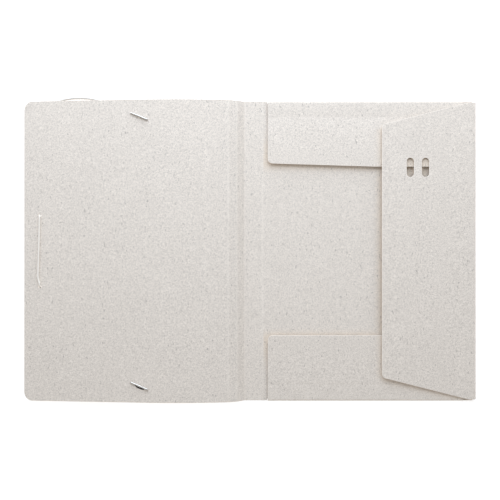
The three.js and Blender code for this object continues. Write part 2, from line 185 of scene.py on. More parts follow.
class FolderFlaps(bpy.types.PropertyGroup):
    """The three inner flaps."""

    end_tilt: FloatProperty(
        name="End flap tilt", description="How far the top and bottom flaps rise towards their free edge",
        default=math.radians(0.8), subtype="ANGLE", unit="ROTATION",
    )
    end_depth: FloatProperty(
        name="End flap depth", description="Reach of the top and bottom flaps from their fold",
        default=67.2 * MM, min=0, subtype="DISTANCE", unit="LENGTH", precision=4,
    )
    top_left_depth: FloatProperty(
        name="Top flap left depth", description="Reach of the top flap at its left side",
        default=63.8 * MM, min=0, subtype="DISTANCE", unit="LENGTH", precision=4,
    )
    shoulder: FloatProperty(
        name="Shoulder", description="Where the slanted part of a free edge ends, from the left side",
        default=112 * MM, min=0, subtype="DISTANCE", unit="LENGTH", precision=4,
    )
    taper: FloatProperty(
        name="Taper", description="How far the right side of an end flap draws in",
        default=29.9 * MM, min=0, subtype="DISTANCE", unit="LENGTH", precision=4,
    )
    corner: FloatProperty(
        name="Corner", description="Radius of the flap corners",
        default=5 * MM, min=0, subtype="DISTANCE", unit="LENGTH", precision=4,
    )
    end_score: FloatProperty(
        name="End flap score", description="Distance of the pressed line from the fold of an end flap",
        default=15.5 * MM, min=0, subtype="DISTANCE", unit="LENGTH", precision=4,
    )
    side_tilt: FloatProperty(
        name="Side flap tilt", description="How far the side flap rises towards its free edge",
        default=math.radians(1.5), subtype="ANGLE", unit="ROTATION",
    )
    side_depth: FloatProperty(
        name="Side flap depth", description="Reach of the side flap from its fold",
        default=96.75 * MM, min=0, subtype="DISTANCE", unit="LENGTH", precision=4,
    )
    side_shoulder: FloatProperty(
        name="Side flap shoulder",
        description="Where the ends of the side flap start to draw in, from its fold",
        default=5 * MM, min=0, subtype="DISTANCE", unit="LENGTH", precision=4,
    )
    side_taper: FloatProperty(
        name="Side flap taper", description="How far each end of the side flap draws in at its free edge",
        default=23.5 * MM, min=0, subtype="DISTANCE", unit="LENGTH", precision=4,
    )
    side_score: FloatProperty(
        name="Side flap score", description="Distance of the pressed line from the fold of the side flap",
        default=6 * MM, min=0, subtype="DISTANCE", unit="LENGTH", precision=4,
    )
    score_width: FloatProperty(
        name="Score width", description="Width of a pressed line",
        default=1.4 * MM, min=0, subtype="DISTANCE", unit="LENGTH", precision=4,
    )
    score_depth: FloatProperty(
        name="Score depth", description="Depth of a pressed line",
        default=0.05 * MM, min=0, subtype="DISTANCE", unit="LENGTH", precision=5,
    )
    slot_width: FloatProperty(
        name="Slot width", description="Width of each slot in the side flap",
        default=7.7 * MM, min=0, subtype="DISTANCE", unit="LENGTH", precision=4,
    )
    slot_length: FloatProperty(
        name="Slot length", description="Length of each slot in the side flap",
        default=20.2 * MM, min=0, subtype="DISTANCE", unit="LENGTH", precision=4,
    )
    slot_pitch: FloatProperty(
        name="Slot pitch", description="Distance between the two slots",
        default=16 * MM, min=0, subtype="DISTANCE", unit="LENGTH", precision=4,
    )
    slot_inset: FloatProperty(
        name="Slot inset", description="Distance of the first slot from the side flap's free edge",
        default=29.7 * MM, min=0, subtype="DISTANCE", unit="LENGTH", precision=4,
    )
    slot_drop: FloatProperty(
        name="Slot drop", description="Distance of the slots from the top corner of the side flap",
        default=44.7 * MM, min=0, subtype="DISTANCE", unit="LENGTH", precision=4,
    )


class FolderClosure(bpy.types.PropertyGroup):
    """The elastic cord, its holes and its barbs."""

    diameter: FloatProperty(
        name="Cord diameter", description="Outer diameter of the braided elastic",
        default=1.8 * MM, min=0, subtype="DISTANCE", unit="LENGTH", precision=4,
    )
    braid_depth: FloatProperty(
        name="Braid depth", description="How far the braid's strands stand proud",
        default=0.05 * MM, min=0, subtype="DISTANCE", unit="LENGTH", precision=5,
    )
    braid_lay: FloatProperty(
        name="Braid lay", description="Length in which the braid's pattern repeats",
        default=2.4 * MM, min=0, subtype="DISTANCE", unit="LENGTH", precision=5,
    )
    strands: IntProperty(
        name="Strands", description="Strands that wind each way round the cord", default=4, min=2,
    )
    bend: FloatProperty(
        name="Bend", description="Radius at which the cord turns through a hole",
        default=3.8 * MM, min=0, subtype="DISTANCE", unit="LENGTH", precision=4,
    )
    side_hole: FloatProperty(
        name="Side hole", description="Diameter of the holes near the free edge",
        default=3.4 * MM, min=0, subtype="DISTANCE", unit="LENGTH", precision=4,
    )
    side_inset: FloatProperty(
        name="Side hole inset", description="Distance of the side holes from the free edge",
        default=17.1 * MM, min=0, subtype="DISTANCE", unit="LENGTH", precision=4,
    )
    side_offset: FloatProperty(
        name="Side hole offset", description="Distance of the side holes from the middle of the cover",
        default=37.6 * MM, min=0, subtype="DISTANCE", unit="LENGTH", precision=4,
    )
    barb_hole: FloatProperty(
        name="Barb hole", description="Diameter of the holes under the barbs",
        default=2.4 * MM, min=0, subtype="DISTANCE", unit="LENGTH", precision=4,
    )
    # The next five settings paint shade: a dark patch on the cover beside the lower barb stands for the
    # shadow in its hole
    hole_shade_length: FloatProperty(
        name="Mark length", description="Length of the dark opening that shows beside the lower barb",
        default=10.5 * MM, min=0, subtype="DISTANCE", unit="LENGTH", precision=4,
    )
    hole_shade_width: FloatProperty(
        name="Mark width", description="Width of that opening",
        default=3.0 * MM, min=0, subtype="DISTANCE", unit="LENGTH", precision=4,
    )
    hole_shade_ahead: FloatProperty(
        name="Mark ahead", description="How far along the barb the middle of that opening lies",
        default=1.1 * MM, subtype="DISTANCE", unit="LENGTH", precision=4,
    )
    hole_shade_beside: FloatProperty(
        name="Mark beside", description="How far beside the barb the middle of that opening lies",
        default=1.5 * MM, subtype="DISTANCE", unit="LENGTH", precision=4,
    )
    hole_shade_colour: FloatVectorProperty(
        name="Mark colour", description="Colour in the depth of that opening",
        default=(0.035, 0.03, 0.028), min=0, max=1, subtype="COLOR",
    )
    barb_inset: FloatProperty(
        name="Barb hole inset", description="Distance of the barb holes from the free edge",
        default=123.2 * MM, min=0, subtype="DISTANCE", unit="LENGTH", precision=4,
    )
    barb_margin: FloatProperty(
        name="Barb hole margin", description="Distance of the barb holes from the top and bottom edges",
        default=17.7 * MM, min=0, subtype="DISTANCE", unit="LENGTH", precision=4,
    )
    barb_length: FloatProperty(
        name="Barb length", description="Length of each metal barb",
        default=20.3 * MM, min=0, subtype="DISTANCE", unit="LENGTH", precision=4,
    )
    barb_diameter: FloatProperty(
        name="Barb diameter", description="Thickness of each barb's arms",
        default=1.7 * MM, min=0, subtype="DISTANCE", unit="LENGTH", precision=4,
    )
    barb_turn: FloatProperty(
        name="Barb turn", description="How far each barb lies turned on the cover",
        default=math.radians(-22.4), subtype="ANGLE", unit="ROTATION",
    )
    crimp_diameter: FloatProperty(
        name="Crimp diameter", description="Diameter of the crimped middle",
        default=2.1 * MM, min=0, subtype="DISTANCE", unit="LENGTH", precision=4,
    )
    crimp_length: FloatProperty(
        name="Crimp length", description="Length of the crimped middle",
        default=4.4 * MM, min=0, subtype="DISTANCE", unit="LENGTH", precision=4,
    )
    stem_drop: FloatProperty(
        name="Stem drop", description="How far the crimped stem reaches into the hole",
        default=1.2 * MM, min=0, subtype="DISTANCE", unit="LENGTH", precision=4,
    )
    touch_gap: FloatProperty(
        name="Touch gap", description="Clearance between the cover and what lies on it",
        default=0.3 * MM, min=0, subtype="DISTANCE", unit="LENGTH", precision=5,
    )
    cord_colour: FloatVectorProperty(
        name="Cord colour", description="Colour of the elastic",
        default=(0.96, 0.90, 0.82), min=0, max=1, subtype="COLOR",
    )
    # This colour is painted shade: the cord is greyed where it lies low on the table
    table_shade_colour: FloatVectorProperty(
        name="Worn colour", description="Colour of the elastic where it lies on the table",
        default=(0.60, 0.57, 0.53), min=0, max=1, subtype="COLOR",
    )
    metal_colour: FloatVectorProperty(
        name="Metal colour", description="Colour of the barbs",
        default=(0.72, 0.69, 0.65), min=0, max=1, subtype="COLOR",
    )


class FolderStage(bpy.types.PropertyGroup):
    """Camera, floor and light."""

    camera_height: FloatProperty(
        name="Camera height", description="Height of the camera above the table",
        default=0.7, min=0.1, subtype="DISTANCE", unit="LENGTH",
    )
    view_width: FloatProperty(
        name="View width", description="Width of table that the picture shows",
        default=527.8 * MM, min=0.01, subtype="DISTANCE", unit="LENGTH", precision=4,
    )
    view_x: FloatProperty(
        name="View centre X", description="Where the picture's centre lies across the folder",
        default=0.3 * MM, subtype="DISTANCE", unit="LENGTH", precision=4,
    )
    view_y: FloatProperty(
        name="View centre Y", description="Where the picture's centre lies along the folder",
        default=1.05 * MM, subtype="DISTANCE", unit="LENGTH", precision=4,
    )
    key_power: FloatProperty(
        name="Key light", description="Power of the large light beyond the top edge",
        default=12.3, min=0, unit="POWER",
    )
    side_power: FloatProperty(
        name="Side lights", description="Strength of the broad light from the left and from the right",
        default=0.285, min=0,
    )
    side_height: FloatProperty(
        name="Side light height", description="How high the broad light stands above the table",
        default=math.radians(32), subtype="ANGLE", unit="ROTATION",
    )
    side_spread: FloatProperty(
        name="Side light spread", description="How wide the broad light looks from the folder",
        default=math.radians(40), subtype="ANGLE", unit="ROTATION",
    )
    fill: FloatProperty(
        name="Fill light", description="Strength of the even light from all round", default=0.475, min=0,
    )
    key_colour: FloatVectorProperty(
        name="Key colour", description="Colour of the key light",
        default=(0.784, 0.878, 1.0), min=0, max=1, subtype="COLOR",
    )
    fill_colour: FloatVectorProperty(
        name="Fill colour", description="Colour of the side lights and of the light from all round",
        default=(0.893, 0.886, 0.882), min=0, max=1, subtype="COLOR",
    )
    floor_colour: FloatVectorProperty(
        name="Floor colour", description="Colour of the floor",
        default=(0.95, 0.95, 0.95), min=0, max=1, subtype="COLOR",
    )
    floor_reach: FloatProperty(
        name="Floor reach", description="Distance of the floor's edges from the middle of the folder",
        default=30, min=0.3, subtype="DISTANCE", unit="LENGTH",
    )
    floor_drop: FloatProperty(
        name="Floor drop", description="How far the floor lies below the folder",
        default=0.05 * MM, min=0, subtype="DISTANCE", unit="LENGTH", precision=5,
    )
    key_size: FloatProperty(
        name="Key light size", description="Side of the large light",
        default=1.1, min=0.01, subtype="DISTANCE", unit="LENGTH",
    )
    key_place: FloatVectorProperty(
        name="Key light place", description="Where the large light hangs",
        default=(-0.02, 0.78, 0.45), subtype="XYZ", unit="LENGTH",
    )
    floor_glow: FloatProperty(
        name="Floor glow", description="Light that the floor gives of its own, as a light table does",
        default=0.5, min=0,
    )


# Shader maths


class Wire:
    """A value on its way through a material. Arithmetic on it adds Math nodes."""

    def __init__(self, finish, socket):
        self.finish = finish
        self.socket = socket

    def __add__(self, other):
        return self.finish.math("ADD", self, other)

    def __sub__(self, other):
        return self.finish.math("SUBTRACT", self, other)

    def __rsub__(self, other):
        return self.finish.math("SUBTRACT", other, self)

    def __mul__(self, other):
        return self.finish.math("MULTIPLY", self, other)

    __radd__ = __add__
    __rmul__ = __mul__

    def ramp(self, low, high):
        """0 below low, 1 above high, and smooth between them."""
        settings = {"interpolation_type": "SMOOTHSTEP"}
        sockets = {"Value": self, "From Min": low, "From Max": high}
        return self.finish.node("ShaderNodeMapRange", settings, sockets, "Result")


class Finish:
    """A material under construction, with one method for any node."""

    def __init__(self, name):
        self.material = bpy.data.materials.new(name)
        self.material.use_nodes = True
        self.tree = self.material.node_tree
        self.shader = self.tree.nodes["Principled BSDF"]

    def node(self, kind, settings=None, sockets=None, output=0):
        """Adds a node, with its settings first and then its sockets, and returns one of its outputs."""
        made = self.tree.nodes.new(kind)
        for name, value in (settings or {}).items():
            setattr(made, name, value)
        for name, value in (sockets or {}).items():
            self.feed(made, name, value)
        return Wire(self, self.found(made.outputs, output))

    def found(self, sockets, name):
        """A socket, found by its place, identifier or name."""
        if isinstance(name, int):
            return sockets[name]
        return next(s for s in sockets if name in (s.identifier, s.name))

    def feed(self, made, name, value):
        """Sets a socket to a value or a link."""
        socket = self.found(made.inputs, name)
        if isinstance(value, Wire):
            self.tree.links.new(value.socket, socket)
        else:
            socket.default_value = value

    def math(self, operation, first, second):
        """A sum or other working on one or two values."""
        return self.node("ShaderNodeMath", {"operation": operation}, {0: first, 1: second})

    def mix(self, factor, first, second):
        """One colour turning into another."""
        sockets = {"Factor_Float": factor, "A_Color": first, "B_Color": second}
        return self.node("ShaderNodeMix", {"data_type": "RGBA"}, sockets, "Result_Color")

    def place(self):
        """The place on the object."""
        return self.node("ShaderNodeTexCoord", output="Object")

    def place_along(self, axis):
        """One coordinate of the place, as X, Y or Z."""
        return self.node("ShaderNodeSeparateXYZ", None, {"Vector": self.place()}, axis)

    def attribute(self, name):
        """A value that the mesh carries."""
        return self.node("ShaderNodeAttribute", {"attribute_name": name}, output="Fac")

    def noise(self, size, detail=2, roughness=0.5):
        """Noise whose grains are about that size."""
        sockets = {"Vector": self.place(), "Scale": 1 / size, "Detail": detail, "Roughness": roughness}
        return self.node("ShaderNodeTexNoise", None, sockets, "Fac")

    def bump(self, height, distance):
        """A surface roughened by a height, which stands for that distance."""
        sockets = {"Height": height, "Distance": distance, "Strength": 1.0}
        return self.node("ShaderNodeBump", None, sockets, "Normal")

    def surface(self, **values):
        """Sets or links the sockets of the surface, with _ for a space."""
        for name, value in values.items():
            self.feed(self.shader, name.replace("_", " "), value)
        return self.material


def rgba(colour):
    """An opaque colour."""
    return (*colour, 1.0)


# Sizes in the sheet's pattern, and how far its fibres are drawn out and turned
CLOUD_SIZE = 45 * MM
MOTTLE_SIZE = 2.2 * MM
GRAIN_SIZE = 0.9 * MM
FIBRE_SIZE = 1.6 * MM
FIBRE_STRETCH = (1.0, 0.45, 1.0)
FIBRE_TURN = 0.7

# How much each part of the pattern adds to the shade and to the relief of the sheet
MOTTLE_SHADE = 1.1
GRAIN_SHADE = 2.4
CLOUD_SHADE = 0.12
SHADE_RANGE = 0.22
DARK_FLECKS = 0.6
LIGHT_FLECKS = 0.5
MOTTLE_RELIEF = 0.5
GRAIN_RELIEF = 0.35
FLECK_RELIEF = 0.4
RELIEF = 0.06 * MM

# How far rims wear and how rough the sheet is
RIM_WEAR = 0.3
ROUGHNESS = 0.62
ROUGHNESS_RANGE = 0.3

# Ragged border of the dark patch of painted shade beside the lower barb, in squared half lengths
RAGGED_SIZE = 1.2 * MM
RAGGED = 0.9
HOLE_SHADE_BORDER = (1.2, 0.8)

# Where the warm painted shade round the slots ends, in squared slot pitches across and slot lengths up
SLOT_SHADE_REACH = 1.8


def painted_shade_under_flaps(finish, ends):
    """Mask of the warm painted shade: 1 under the edges and slots of the side flap, and 0 in the open and
    far under it.

    With ends set, the edges of the top and bottom flaps count too.
    """
    board = bpy.context.scene.folder_board
    fade = board.painted_shade_fade
    full = fade / 2
    upper_start = fade / 6
    reach = board.painted_shade_reach
    flaps = bpy.context.scene.folder_flaps
    side_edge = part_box("side_flap")[0].x
    tip_half = SIDE_ROOT_HALF - flaps.side_taper
    draw = flaps.side_taper / (flaps.side_depth - flaps.side_shoulder)
    x = finish.place_along("X")
    y = finish.place_along("Y")
    beyond = x - side_edge
    half = beyond * draw + tip_half
    covered = finish.math("MULTIPLY", beyond.ramp(-fade, full), (half - y).ramp(upper_start, full))
    covered = finish.math("MULTIPLY", covered, (half + y).ramp(-fade, full))
    far = finish.math("MULTIPLY", beyond.ramp(0.0, reach), (half - y).ramp(0.0, reach))
    far = finish.math("MULTIPLY", far, (half + y).ramp(0.0, reach))
    covered = finish.math("MULTIPLY", covered, 1 - far)
    if ends:
        end_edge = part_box("top_flap")[0].y
        inward = finish.math("ABSOLUTE", y, 0.0) - end_edge
        under_end = finish.math("MULTIPLY", inward.ramp(-fade, full), inward.ramp(reach, 0.0))
        covered = finish.math("MAXIMUM", covered, under_end)
    slot_x = x - (side_edge + flaps.slot_inset + flaps.slot_pitch / 2)
    slot_y = y - (tip_half - flaps.slot_drop)
    across = slot_x * (1 / flaps.slot_pitch)
    upward = slot_y * (1 / flaps.slot_length)
    under_slots = (across * across + upward * upward).ramp(SLOT_SHADE_REACH, 0.0)
    return finish.math("MAXIMUM", covered, under_slots) * board.painted_shade_strength


def hole_shade_mask(finish):
    """1 in the dark patch of painted shade that stands for the shadow in the hole beside the lower barb, and
    0 away from it.
    """
    closure = bpy.context.scene.folder_closure
    route = Route()
    turn = closure.barb_turn
    x = finish.place_along("X") - route.barb_x
    y = finish.place_along("Y") + route.barb_y
    along = x * math.cos(turn) + y * math.sin(turn) - closure.hole_shade_ahead
    beside = y * math.cos(turn) - x * math.sin(turn) + closure.hole_shade_beside
    long = along * (2 / closure.hole_shade_length)
    wide = beside * (2 / closure.hole_shade_width)
    ragged = (finish.noise(RAGGED_SIZE, 1) - 0.5) * RAGGED
    return (long * long + wide * wide + ragged).ramp(*HOLE_SHADE_BORDER)


def board_finish(name, pale=0.0, rim_and_highlight_strength=0.35, inside=0.1, flap_shaded=False, ends=False, hole_shaded=False):
    """Matt off-white board with fine mottling, scattered fibres and pale pressed edges.

    pale lightens it all, the rim strength its cut edges, which are pale pressed edge and on the flaps
    painted highlight too, and inside is how warm its reverse is. It can take warm painted shade under the
    side flap's edges and slots, and under the end flaps' edges too, and a dark patch of painted shade beside
    the lower barb that stands for the shadow in its hole.
    """
    board = bpy.context.scene.folder_board
    finish = Finish(name)
    cloud = finish.noise(CLOUD_SIZE, 2)
    mottle = finish.noise(MOTTLE_SIZE, 3, 0.65)
    grain = finish.noise(GRAIN_SIZE, 2, 0.6)
    stretched = finish.node(
        "ShaderNodeMapping", {"vector_type": "POINT"},
        {"Vector": finish.place(), "Scale": FIBRE_STRETCH, "Rotation": (0, 0, FIBRE_TURN)},
    )
    fibre = finish.node(
        "ShaderNodeTexNoise", None,
        {"Vector": stretched, "Scale": 1 / FIBRE_SIZE, "Detail": 2.0, "Roughness": 0.4}, "Fac",
    )
    specks = fibre.ramp(0.66, 0.74)
    light_specks = (1 - fibre).ramp(0.68, 0.78)
    shade = (mottle - 0.5) * MOTTLE_SHADE + (grain - 0.5) * GRAIN_SHADE + (cloud - 0.5) * CLOUD_SHADE + 0.5
    dark = [c * (1 - SHADE_RANGE) for c in board.colour]
    light = [min(1.0, c * (1 + SHADE_RANGE)) for c in board.colour]
    body = finish.mix(shade, rgba(dark), rgba(light))
    warm = finish.attribute("reverse") * inside
    # Under the flaps' edges and round the slots the warm colour is painted shade; on the reverse it is the
    # sheet's own tone
    if flap_shaded:
        warm = finish.math("MAXIMUM", warm, painted_shade_under_flaps(finish, ends))
    body = finish.mix(warm, body, rgba(board.warm_shade_and_reverse_colour))
    flecked = finish.mix(specks * DARK_FLECKS, body, rgba(board.fleck_colour))
    sparkled = finish.mix(light_specks * LIGHT_FLECKS, flecked, rgba(board.rim_colour))
    rim = finish.attribute("rim")
    # Rim: pale pressed edge with its wear, and on the flaps painted highlight as well
    rim_wear_and_highlight = rim * rim_and_highlight_strength + (mottle - 0.5) * RIM_WEAR * rim + pale
    colour = finish.mix(rim_wear_and_highlight, sparkled, rgba(board.rim_colour))
    # Painted shade: a dark patch beside the lower barb stands for the shadow in its hole
    if hole_shaded:
        hole_shade = rgba(bpy.context.scene.folder_closure.hole_shade_colour)
        colour = finish.mix(hole_shade_mask(finish), colour, hole_shade)
    height = mottle * MOTTLE_RELIEF + grain * GRAIN_RELIEF + specks * FLECK_RELIEF
    return finish.surface(
        Base_Color=colour,
        Roughness=(grain - 0.5) * ROUGHNESS_RANGE + ROUGHNESS,
        Normal=finish.bump(height, RELIEF),
        Specular_IOR_Level=0.35,
    )


# How fuzzy the yarn is, how dark the painted shade in its gaps is, and between which heights, in diameters,
# painted shade greys it
FUZZ_SIZE = 0.25 * MM
FUZZ_RELIEF = 0.04 * MM
GAP_PAINTED_SHADE = 0.18
LOW_CORD = 1.2
HIGH_CORD = 2.2


def elastic_finish():
    """Braided elastic: pale yarn, with painted shade between its strands and where it lies low on the table.
    """
    closure = bpy.context.scene.folder_closure
    finish = Finish("braided_elastic")
    braid = finish.attribute("braid")
    fuzz = finish.noise(FUZZ_SIZE, 3, 0.7)
    depth = (braid + (fuzz - 0.5) * 0.5).ramp(-0.25, 0.65)
    # Painted shade greys the cord where it lies low on the table
    low = finish.place_along("Z").ramp(HIGH_CORD * closure.diameter, LOW_CORD * closure.diameter)
    yarn = finish.mix(low, rgba(closure.cord_colour), rgba(closure.table_shade_colour))
    # Painted shade darkens the yarn between its strands
    colour = finish.mix(depth * GAP_PAINTED_SHADE + (1 - GAP_PAINTED_SHADE), rgba((0, 0, 0)), yarn)
    return finish.surface(
        Base_Color=colour,
        Roughness=0.95 - fuzz * 0.2,
        Normal=finish.bump(fuzz, FUZZ_RELIEF),
        Sheen_Weight=0.3,
        Specular_IOR_Level=0.25,
    )


# Scratches and stains of the plating
SCRATCH_SIZE = 0.25 * MM
SCRATCH_STRETCH = (0.15, 1.0, 1.0)
SCRATCH_RELIEF = 0.01 * MM
STAIN_SIZE = 3 * MM
STAIN_SHADE = 0.72


def metal_finish():
    """Bright plated metal with faint drawn scratches."""
    closure = bpy.context.scene.folder_closure
    finish = Finish("plated_metal")
    drawn = finish.node(
        "ShaderNodeMapping", {"vector_type": "POINT"},
        {"Vector": finish.place(), "Scale": SCRATCH_STRETCH, "Rotation": (0, 0, -closure.barb_turn)},
    )
    scratch = finish.node(
        "ShaderNodeTexNoise", None,
        {"Vector": drawn, "Scale": 1 / SCRATCH_SIZE, "Detail": 2.0, "Roughness": 0.6}, "Fac",
    )
    stain = finish.noise(STAIN_SIZE, 2)
    dull = [c * STAIN_SHADE for c in closure.metal_colour]
    return finish.surface(
        Base_Color=finish.mix(stain.ramp(0.35, 0.75), rgba(closure.metal_colour), rgba(dull)),
        Roughness=scratch * 0.18 + 0.27,
        Normal=finish.bump(scratch, SCRATCH_RELIEF),
        Metallic=1.0,
    )


# Size and depth of the floor's unevenness
DRIFT_SIZE = 180 * MM
DRIFT_SHADE = 0.985


def floor_finish():
    """Plain pale floor with the faintest unevenness."""
    stage = bpy.context.scene.folder_stage
    finish = Finish("pale_floor")
    drift = finish.noise(DRIFT_SIZE, 1)
    near = [c * DRIFT_SHADE for c in stage.floor_colour]
    return finish.surface(
        Base_Color=finish.mix(drift, rgba(near), rgba(stage.floor_colour)),
        Roughness=0.9,
        Specular_IOR_Level=0.1,
        Emission_Color=rgba((1, 1, 1)),
        Emission_Strength=stage.floor_glow,
    )


# What sets each board apart: the flaps' stronger rim is painted highlight as well as pale pressed edge, the
# back and end flaps take warm painted shade under the flaps' edges, and the cover takes painted shade beside
# the lower barb
FLAP_BOARD = {"rim_and_highlight_strength": 0.85, "inside": 0.25}
BOARDS = {
    "fibre_board": {},
    "pressed_board": {"pale": 0.2},
    "cover_board": {"hole_shaded": True},
    "back_board": {"flap_shaded": True, "ends": True},
    "side_flap_board": FLAP_BOARD,
    "end_flap_board": {**FLAP_BOARD, "flap_shaded": True},
}
OTHER_FINISHES = {
    "braided_elastic": elastic_finish,
    "plated_metal": metal_finish,
    "pale_floor": floor_finish,
}


def material(name):
    """The named finish, made once."""
    made = bpy.data.materials.get(name)
    if made:
        return made
    if name in BOARDS:
        return board_finish(name, **BOARDS[name])
    return OTHER_FINISHES[name]()


# Outlines


def rounded(corners, steps=6):
    """An outline whose corners are (x, y, radius), with the round ones as arcs."""
    points = []
    for i, (x, y, radius) in enumerate(corners):
        corner = Vector((x, y))
        if radius == 0:
            points.append(corner)
            continue
        back = (Vector(corners[i - 1][:2]) - corner).normalized()
        ahead = (Vector(corners[(i + 1) % len(corners)][:2]) - corner).normalized()
        half = back.angle(ahead) / 2
        centre = corner + (back + ahead).normalized() * (radius / math.sin(half))
        start = corner + back * (radius / math.tan(half)) - centre
        sweep = start.angle_signed(corner + ahead * (radius / math.tan(half)) - centre)
        for step in range(steps + 1):
            turned = Matrix.Rotation(-sweep * step / steps, 2) @ start
            points.append(centre + turned)
    return points


def circle(x, y, radius, sides=28):
    """The outline of a round hole."""
    turns = [2 * math.pi * i / sides for i in range(sides)]
    return [Vector((x + radius * math.cos(t), y + radius * math.sin(t))) for t in turns]


def pill(x, y, width, length, steps=10):
    """An upright slot with round ends."""
    radius = width / 2
    points = []
    for end in (1, -1):
        middle = Vector((x, y + end * (length / 2 - radius)))
        for step in range(steps + 1):
            turn = math.pi * step / steps + (0 if end == 1 else math.pi)
            points.append(middle + Vector((radius * math.cos(turn), radius * math.sin(turn))))
    return points


def spread(low, high, step):
    """Evenly spaced places between two ends, both left out."""
    count = max(1, round((high - low) / step))
    return [low + (high - low) * i / count for i in range(1, count)]


def beside(line, width):
    """Places across a pressed line, close enough to show its shape."""
    return [line + width * share for share in (-0.5, -0.25, 0, 0.25, 0.5)]


# Sheet meshes

# Distance below which two places are one
WELD = 1e-7

# Least number that a mitre is divided by, so that sharp corners stay short
SHARPEST = 0.4


def plan_mesh(outline, holes, lines_x, lines_y, rim_width, creased=()):
    """A flat mesh of an outline, with a rim along its cut edges and divided on the given lines.

    creased lists the sides that end in a crease and not in a cut, as (axis, position).
    """
    plan = bmesh.new()
    rim = plan.verts.layers.float.new("rim")
    for loop in [outline, *holes]:
        corners = [plan.verts.new((p[0], p[1], 0)) for p in loop]
        for i, corner in enumerate(corners):
            plan.edges.new((corners[i - 1], corner))
    bmesh.ops.triangle_fill(plan, use_beauty=True, edges=plan.edges[:], normal=UP)
    turned = [face for face in plan.faces if face.normal.z < 0]
    bmesh.ops.reverse_faces(plan, faces=turned)
    if rim_width > 0:
        bmesh.ops.inset_region(
            plan, faces=plan.faces[:], use_boundary=True, use_even_offset=True, thickness=rim_width
        )
        for vertex in plan.verts:
            at_crease = any(abs(vertex.co[axis] - position) < WELD for axis, position in creased)
            vertex[rim] = 1.0 if vertex.is_boundary and not at_crease else 0.0
    for axis, lines in ((0, lines_x), (1, lines_y)):
        normal = Vector((1 - axis, axis, 0))
        for line in lines:
            parts = plan.verts[:] + plan.edges[:] + plan.faces[:]
            bmesh.ops.bisect_plane(
                plan, geom=parts, dist=WELD, plane_co=normal * line, plane_no=normal
            )
    return plan


def outward_mitres(plan):
    """For each vertex on a cut edge, the direction out of the sheet, long enough to keep corners true."""
    mitres = {}
    for edge in plan.edges:
        if not edge.is_boundary:
            continue
        loop = edge.link_loops[0]
        along = (loop.link_loop_next.vert.co - loop.vert.co).normalized()
        out = along.cross(UP)
        for vertex in edge.verts:
            mitres.setdefault(vertex.index, []).append(out)
    return {
        index: sum(outs, Vector()) / max(SHARPEST, 1 + outs[0].dot(outs[-1]))
        for index, outs in mitres.items()
    }


def edge_levels(thickness, rounding, steps=5):
    """How far in and how deep each ring of a rounded edge lies, from the upper face to the lower."""
    upper = []
    for step in range(steps + 1):
        turn = math.pi / 2 * step / steps
        upper.append((rounding * (1 - math.sin(turn)), rounding * (math.cos(turn) - 1)))
    lower = [(inset, -thickness - depth) for inset, depth in reversed(upper)]
    return upper + lower


def sheet_piece(name, plan, place, thickness, rounding, finish):
    """A sheet over a flat plan, with rounded cut edges, laid out in space by place(x, y, height)."""
    plan.verts.ensure_lookup_table()
    plan.verts.index_update()
    rim = plan.verts.layers.float["rim"]
    mitres = outward_mitres(plan)
    levels = edge_levels(thickness, rounding)
    points = []
    rims = []
    reverses = []
    rings = []
    for level, (inset, depth) in enumerate(levels):
        whole = level in (0, len(levels) - 1)
        ring = {}
        for vertex in plan.verts if whole else [plan.verts[i] for i in mitres]:
            spot = vertex.co - mitres.get(vertex.index, Vector()) * inset
            ring[vertex.index] = len(points)
            points.append(place(spot.x, spot.y, depth))
            rims.append(vertex[rim])
            reverses.append(1.0 if level == len(levels) - 1 else 0.0)
        rings.append(ring)
    faces = []
    for face in plan.faces:
        indices = [v.index for v in face.verts]
        faces.append([rings[0][i] for i in indices])
        faces.append([rings[-1][i] for i in reversed(indices)])
    for edge in plan.edges:
        if not edge.is_boundary:
            continue
        loop = edge.link_loops[0]
        a = loop.vert.index
        b = loop.link_loop_next.vert.index
        for high, low in zip(rings, rings[1:]):
            faces.append([high[a], low[a], low[b], high[b]])
    plan.free()
    return mesh_piece(name, points, faces, finish, {"rim": rims, "reverse": reverses})


def mesh_piece(name, points, faces, finish, attributes=None):
    """A closed smooth mesh object with its faces pointing out, and one value a point for each attribute."""
    mesh = bpy.data.meshes.new(name)
    mesh.from_pydata([tuple(p) for p in points], [], faces)
    for label, values in (attributes or {}).items():
        attribute = mesh.attributes.new(label, "FLOAT", "POINT")
        attribute.data.foreach_set("value", values)
    shell = bmesh.new()
    shell.from_mesh(mesh)
    if shell.calc_volume(signed=True) < 0:
        bmesh.ops.reverse_faces(shell, faces=shell.faces[:])
        shell.to_mesh(mesh)
    shell.free()
    mesh.shade_smooth()
    mesh.materials.append(material(finish))
    piece = bpy.data.objects.new(name, mesh)
    bpy.context.scene.collection.objects.link(piece)
    return piece


def standing(origin, angle, lift=0.0):
    """Lays a flat panel out from a line along Y at origin, risen by an angle on its -X side."""
    def place(x, y, height):
        up = height + lift
        return Vector((
            origin.x + x * math.cos(angle) + up * math.sin(angle),
            y,
            origin.z - x * math.sin(angle) + up * math.cos(angle),
        ))
    return place


def press(depth, width, distance):
    """How far a pressed line sinks the sheet at a distance from its middle."""
    if abs(distance) >= width / 2:
        return 0.0
    return depth * (1 + math.cos(2 * math.pi * distance / width)) / 2


def smooth(share):
    """A share from 0 to 1 with soft ends."""
    clipped = min(1.0, max(0.0, share))
    return clipped * clipped * (3 - 2 * clipped)


def add_panel(name, plan, place, body, finish="fibre_board"):
    """A flat or bowed panel of the sheet, which moves with one body."""
    board = bpy.context.scene.folder_board
    piece = sheet_piece(name, plan, place, SHEET, board.edge_round, finish)
    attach(piece, body)
    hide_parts(name)


